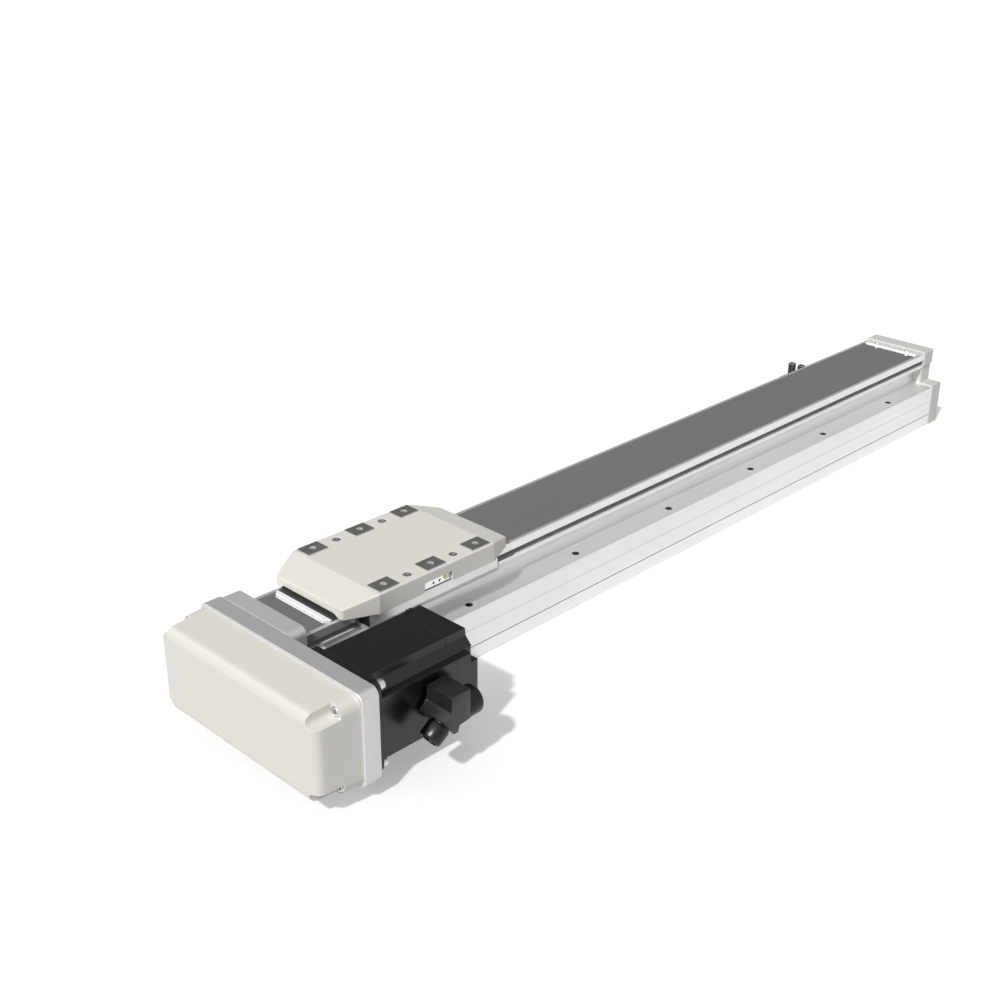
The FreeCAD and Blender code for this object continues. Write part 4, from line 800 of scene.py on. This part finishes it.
class AXIS_OT_carriage(AxisOperator, bpy.types.Operator):
    """Dress the carriage and cut threads into its pads"""
    bl_idname = "linear_axis.carriage"
    bl_label = "Carriage"

    def execute(self, context):
        dress(["carriage_shell"], "shell")
        dress(["carriage_core"], "carriage")
        dress(["carriage_bridge"], "bridge")
        dress(["mounting_pad_%d" % n for n in range(1, 7)], "pad")
        dress(["drive_end_wiper", "far_end_wiper"], "wiper")
        dress(["grease_nipples"], "brass")
        self.pad_threads()
        self.grease_ports()
        return {"FINISHED"}

    def grease_ports(self):
        """Dark plugs in the two small holes beside each grease nipple."""
        low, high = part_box("carriage_bridge")
        middle = (low.x + high.x) / 2
        radius, length, sunk, height = 1.28 * MM, 2 * MM, 0.3 * MM, 14.35 * MM

        def build(mesh):
            for y, out in ((low.y + sunk, -1), (high.y - sunk, 1)):
                for offset in (-3 * MM, 4.5 * MM):
                    lathe(mesh, [(0.2 * MM, 0.0), (radius, 0.0), (radius, -length), (0.2 * MM, -length)],
                          (middle + offset, y, low.z + height), (0, out, 0), 24)
        make_piece("grease_port_plugs", build, "carriage", "port")

    def pad_threads(self):
        """A bright thread in each tapped hole: a helical rib inside the bore."""
        countersink = 0.35 * MM
        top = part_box("mounting_pad_1")[1].z - countersink
        outer, inner, pitch, turns, steps = 3.38 * MM, 2.5 * MM, 1.25 * MM, 6, 24

        def build(mesh):
            for n in range(1, 7):
                low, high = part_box("mounting_pad_%d" % n)
                cx, cy = (low.x + high.x) / 2, (low.y + high.y) / 2
                rows = []
                for i in range(turns * steps + 1):
                    angle = 2 * math.pi * i / steps
                    z = top - pitch * i / steps
                    c, s = math.cos(angle), math.sin(angle)
                    rows.append([mesh.verts.new((cx + r * c, cy + r * s, z + dz)) for r, dz in
                                 ((outer, 0.0), (inner, -0.3 * pitch), (inner, -0.4 * pitch),
                                  (outer, -0.85 * pitch))])
                for a, b in zip(rows, rows[1:]):
                    for k in range(4):
                        m = (k + 1) % 4
                        mesh.faces.new((a[k], a[m], b[m], b[k]))
                mesh.faces.new(rows[0])
                mesh.faces.new(rows[-1])
        make_piece("pad_threads", build, "carriage", "thread")


class AXIS_OT_motor(AxisOperator, bpy.types.Operator):
    """Dress the motor and add the small screws and lugs of its rear cover"""
    bl_idname = "linear_axis.motor"
    bl_label = "Motor"

    def execute(self, context):
        dress(["motor_flange", "motor_housing"], "motor")
        dress(["encoder_cap"], "encoder")
        low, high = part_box("encoder_cap")
        centre = (low + high) / 2
        step_back, row, level = 8.2 * MM, 37.5 * MM, 23.0 * MM
        lug_row, first_lug, second_lug = 27.0 * MM, 8 * MM, 11.6 * MM

        def build(mesh):
            for y in (centre.y - row, centre.y + row):
                for z in (centre.z - level, centre.z + level):
                    lathe(mesh, [(0.3 * MM, 1.2 * MM), (1.2 * MM, 1.25 * MM, "hex"),
                                 (1.2 * MM, 2.6 * MM, "hex"), (1.4 * MM, 2.8 * MM), (2.3 * MM, 2.6 * MM),
                                 (2.75 * MM, 1.8 * MM), (2.75 * MM, 0.0)],
                          (high.x - step_back, y, z), (1, 0, 0), 36)
        make_piece("encoder_cap_screws", build, "base", "dark_steel")

        def lugs(mesh):
            for along in (first_lug, second_lug):
                lathe(mesh, [(1.9 * MM, -0.5 * MM), (1.9 * MM, 0.8 * MM), (1.5 * MM, 1.2 * MM),
                             (0.2 * MM, 1.3 * MM)],
                      (low.x + along, centre.y + lug_row, high.z), (0, 0, 1), 24)
        make_piece("encoder_lugs", lugs, "base", "motor")
        return {"FINISHED"}


class AXIS_OT_connectors(AxisOperator, bpy.types.Operator):
    """Round plug connectors with knurled rings and pins"""
    bl_idname = "linear_axis.connectors"
    bl_label = "Connectors"

    def execute(self, context):
        motor_low, motor_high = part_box("motor_housing")
        side, level = motor_low.y, (motor_low.z + motor_high.z) / 2
        low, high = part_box("connector_block")
        foot_radius, foot_inset = 13 * MM, 4 * MM
        right = high.x - foot_radius + foot_inset

        def block(mesh):
            outline = [(-21, 22.5), (-21, 8.6), (-30, 3), (-19, -13), (-13.5, -13), (-13.5, -6),
                       (0, -6), (0, 22.5)]
            prism(mesh, [(right + x * MM, level + z * MM) for x, z in outline], low.y,
                  side - 3 * MM, 0.8 * MM)
            lathe(mesh, [(0.5 * MM, 0.0), (foot_radius, 0.0), (foot_radius, -3.6 * MM),
                         (0.5 * MM, -3.6 * MM)],
                  (right - foot_inset, side - 3.5 * MM, level + 6 * MM), (0, -1, 0))
        make_piece("connector_block_cast", block, "base", "connector",
                   ["connector_block"])
        power_start = (right - 24.5 * MM, side - 22.5 * MM, level - 5 * MM)
        signal_start = (right, side - 18.5 * MM, level)
        self.plug("power_connector", power_start, (-16, 0, -11), 10 * MM, 16 * MM)
        self.plug("signal_connector", signal_start, (1, 0, 0), 13 * MM, 17 * MM)
        return {"FINISHED"}

    def plug(self, node, start, direction, r, length):
        """A round connector with a knurled ring, an insert and seven pins."""
        _, sizes = self.settings()
        steps = 2 * sizes.knurl_ribs
        bore = 0.7 * r

        def ring(mesh):
            lathe(mesh, [(bore, length - 5 * MM), (bore, length - 0.4 * MM), (bore + 0.4 * MM, length),
                         (r - 1.3 * MM, length), (r - 0.4 * MM, length - 0.9 * MM),
                         (r - 0.2 * MM, length - 1.4 * MM), (r, length - 1.6 * MM, "knurl"),
                         (r, 2.4 * MM, "knurl"), (r - 0.3 * MM, 2.0 * MM), (r - 0.9 * MM, 1.6 * MM),
                         (r - 1.2 * MM, 1.2 * MM), (r - 1.2 * MM, 0.0), (3 * MM, 0.0)],
                  start, direction, steps, caps=False)
        make_piece(node + "_ring", ring, "base", "connector_ring", [node])
        turn = axes_about(direction)

        def insert(mesh):
            lathe(mesh, [(1 * MM, length - 5.4 * MM), (bore - 0.8 * MM, length - 5.4 * MM),
                         (bore - 0.1 * MM, length - 5.9 * MM), (bore - 0.1 * MM, length - 7.5 * MM),
                         (1 * MM, length - 7.5 * MM)], start, direction, 36)
        make_piece(node + "_insert", insert, "base", "connector")

        def pins(mesh):
            count = 6
            for n in range(count + 1):
                angle = 2 * math.pi * n / count
                reach = 0.0 if n == count else 0.6 * bore
                spot = Vector(start) + turn @ Vector((reach * math.cos(angle), reach * math.sin(angle), 0))
                lathe(mesh, [(0.7 * MM, length - 6 * MM), (0.7 * MM, length - 2.2 * MM),
                             (0.5 * MM, length - 1.8 * MM), (0.15 * MM, length - 1.6 * MM)],
                      spot, direction, 16)
        make_piece(node + "_pins", pins, "base", "pin")


class AXIS_OT_sensors(AxisOperator, bpy.types.Operator):
    """Dress the sensors and their bracket"""
    bl_idname = "linear_axis.sensors"
    bl_label = "Sensors"

    def execute(self, context):
        dress(["sensor_bracket"], "bracket")
        dress(["home_sensor", "limit_sensor"], "sensor")
        return {"FINISHED"}


class AXIS_OT_stage(AxisOperator, bpy.types.Operator):
    """Floor, light, background and camera"""
    bl_idname = "linear_axis.stage"
    bl_label = "Stage"

    def execute(self, context):
        studio = context.scene.linear_axis_studio
        self.floor()
        self.world(studio.fill)
        self.sun(studio.key_power)
        self.camera(studio.lens)
        context.scene.view_settings.view_transform = "Standard"
        return {"FINISHED"}

    def floor(self):
        clearance = 0.1 * MM
        mesh = bmesh.new()
        bmesh.ops.create_grid(mesh, x_segments=8, y_segments=8, size=FLOOR_REACH)
        data = bpy.data.meshes.new("floor")
        mesh.to_mesh(data)
        mesh.free()
        paint = bpy.data.materials.new("floor_white")
        paint.use_nodes = True
        nodes, links = paint.node_tree.nodes, paint.node_tree.links
        shader = nodes["Principled BSDF"]
        shader.inputs["Roughness"].default_value = 0.9
        shader.inputs["Specular IOR Level"].default_value = 0.0
        shader.inputs["Emission Color"].default_value = (1, 1, 1, 1)
        seen = self.seen_directly(nodes, links)
        colour = nodes.new("ShaderNodeMix")
        colour.data_type = "RGBA"
        colour.inputs[6].default_value = (*grey(FLOOR_SCATTERED), 1)
        colour.inputs[7].default_value = (*grey(FLOOR_SEEN), 1)
        glow = nodes.new("ShaderNodeMath")
        glow.operation = "MULTIPLY"
        glow.inputs[1].default_value = FLOOR_GLOW
        links.new(seen, colour.inputs["Factor"])
        links.new(seen, glow.inputs[0])
        links.new(colour.outputs[2], shader.inputs["Base Color"])
        links.new(glow.outputs[0], shader.inputs["Emission Strength"])
        data.materials.append(paint)
        floor = bpy.data.objects.new("floor", data)
        floor.location = (0, 0, CAD_BOX[0].z - clearance)
        bpy.context.scene.collection.objects.link(floor)

    def seen_directly(self, nodes, links):
        """1 for rays from the camera and for reflections and refractions, 0 for scattered light."""
        rays = nodes.new("ShaderNodeLightPath")
        seen = rays.outputs["Is Camera Ray"]
        for kind in ("Is Glossy Ray", "Is Transmission Ray"):
            larger = nodes.new("ShaderNodeMath")
            larger.operation = "MAXIMUM"
            links.new(seen, larger.inputs[0])
            links.new(rays.outputs[kind], larger.inputs[1])
            seen = larger.outputs[0]
        return seen

    def world(self, fill):
        """White to the camera, even light for surfaces; reflections are brighter toward the motor side."""
        world = bpy.data.worlds.new("studio")
        bpy.context.scene.world = world
        world.use_nodes = True
        nodes, links = world.node_tree.nodes, world.node_tree.links
        nodes.clear()
        rays = nodes.new("ShaderNodeLightPath")
        place = nodes.new("ShaderNodeTexCoord")
        split = nodes.new("ShaderNodeSeparateXYZ")
        links.new(place.outputs["Generated"], split.inputs[0])

        def ramp(source, low, high, out_low, out_high):
            node = nodes.new("ShaderNodeMapRange")
            node.interpolation_type = "SMOOTHSTEP"
            for key, number in (("From Min", low), ("From Max", high), ("To Min", out_low),
                                ("To Max", out_high)):
                node.inputs[key].default_value = number
            links.new(source, node.inputs["Value"])
            return node.outputs["Result"]

        motor_side = ramp(split.outputs["Y"], -0.25, 0.3, 0.75, 0.21)
        horizon = ramp(split.outputs["Z"], -0.05, 0.12, 0.8, 0.0)
        drive_side = ramp(split.outputs["X"], -0.4, 0.2, 0.48, 0.0)
        softbox = nodes.new("ShaderNodeMath")
        softbox.operation = "MULTIPLY"
        links.new(ramp(split.outputs["X"], -0.35, 0.1, 1.8, 0.0), softbox.inputs[0])
        links.new(ramp(split.outputs["Z"], 0.5, 0.62, 0.0, 1.0), softbox.inputs[1])
        brightest = motor_side
        for part in (horizon, drive_side, softbox.outputs[0]):
            larger = nodes.new("ShaderNodeMath")
            larger.operation = "MAXIMUM"
            links.new(brightest, larger.inputs[0])
            links.new(part, larger.inputs[1])
            brightest = larger.outputs[0]
        even, mirror, white = (nodes.new("ShaderNodeBackground") for _ in range(3))
        for background in (even, mirror, white):
            background.inputs["Color"].default_value = (1, 1, 1, 1)
        even.inputs["Strength"].default_value = fill
        links.new(brightest, mirror.inputs["Strength"])
        shiny = nodes.new("ShaderNodeMixShader")
        seen = nodes.new("ShaderNodeMixShader")
        links.new(rays.outputs["Is Glossy Ray"], shiny.inputs[0])
        links.new(even.outputs[0], shiny.inputs[1])
        links.new(mirror.outputs[0], shiny.inputs[2])
        direct = nodes.new("ShaderNodeMath")
        direct.operation = "MAXIMUM"
        links.new(rays.outputs["Is Camera Ray"], direct.inputs[0])
        links.new(rays.outputs["Is Transmission Ray"], direct.inputs[1])
        links.new(direct.outputs[0], seen.inputs[0])
        links.new(shiny.outputs[0], seen.inputs[1])
        links.new(white.outputs[0], seen.inputs[2])
        output = nodes.new("ShaderNodeOutputWorld")
        links.new(seen.outputs[0], output.inputs["Surface"])

    def sun(self, power):
        data = bpy.data.lights.new("key", "SUN")
        data.energy = power
        data.angle = SUN_ANGLE
        lamp = bpy.data.objects.new("key", data)
        lamp.rotation_mode = "QUATERNION"
        lamp.rotation_quaternion = Vector(SUN_TRAVEL).to_track_quat("-Z", "Y")
        bpy.context.scene.collection.objects.link(lamp)

    def camera(self, lens):
        data = bpy.data.cameras.new("camera")
        data.sensor_width = 36.0
        data.lens = lens
        data.clip_end = 100.0
        level_reach = math.cos(CAMERA_PITCH)
        forward = Vector((level_reach * math.cos(CAMERA_YAW), level_reach * math.sin(CAMERA_YAW),
                          -math.sin(CAMERA_PITCH)))
        right = Vector((math.sin(CAMERA_YAW), -math.cos(CAMERA_YAW), 0.0))
        up = right.cross(forward)
        tilted_right = right * math.cos(CAMERA_ROLL) + up * math.sin(CAMERA_ROLL)
        tilted_up = up * math.cos(CAMERA_ROLL) - right * math.sin(CAMERA_ROLL)
        turn = Matrix((tilted_right, tilted_up, -forward)).transposed().to_4x4()
        camera = bpy.data.objects.new("camera", data)
        camera.matrix_world = Matrix.Translation(CAMERA_PLACE) @ turn
        bpy.context.scene.collection.objects.link(camera)
        bpy.context.scene.camera = camera


class AXIS_PT_panel(bpy.types.Panel):
    """Operators and settings of the linear axis"""
    bl_idname = "AXIS_PT_panel"
    bl_label = "Linear axis"
    bl_space_type = "VIEW_3D"
    bl_region_type = "UI"
    bl_category = "Linear axis"

    def draw(self, context):
        layout = self.layout
        for operator in OPERATORS:
            layout.operator(operator.bl_idname)
        for group in (context.scene.linear_axis_finishes, context.scene.linear_axis_details,
                      context.scene.linear_axis_studio):
            box = layout.box()
            for name in group.__annotations__:
                box.prop(group, name)


SETTINGS = (AxisFinishes, AxisDetails, AxisStudio)
OPERATORS = (AXIS_OT_finishes, AXIS_OT_profile, AXIS_OT_frame_parts, AXIS_OT_belt_drive,
             AXIS_OT_ball_screw, AXIS_OT_screws, AXIS_OT_carriage, AXIS_OT_motor,
             AXIS_OT_connectors, AXIS_OT_sensors, AXIS_OT_stage)


def register():
    for item in SETTINGS + OPERATORS + (AXIS_PT_panel,):
        bpy.utils.register_class(item)
    bpy.types.Scene.linear_axis_finishes = PointerProperty(type=AxisFinishes)
    bpy.types.Scene.linear_axis_details = PointerProperty(type=AxisDetails)
    bpy.types.Scene.linear_axis_studio = PointerProperty(type=AxisStudio)


def unregister():
    del bpy.types.Scene.linear_axis_studio
    del bpy.types.Scene.linear_axis_details
    del bpy.types.Scene.linear_axis_finishes
    for item in reversed(SETTINGS + OPERATORS + (AXIS_PT_panel,)):
        bpy.utils.unregister_class(item)


def main():
    register()
    for operator in OPERATORS:
        group, name = operator.bl_idname.split(".")
        getattr(getattr(bpy.ops, group), name)()
    bpy.context.view_layer.update()


if __name__ == "__main__":
    main()
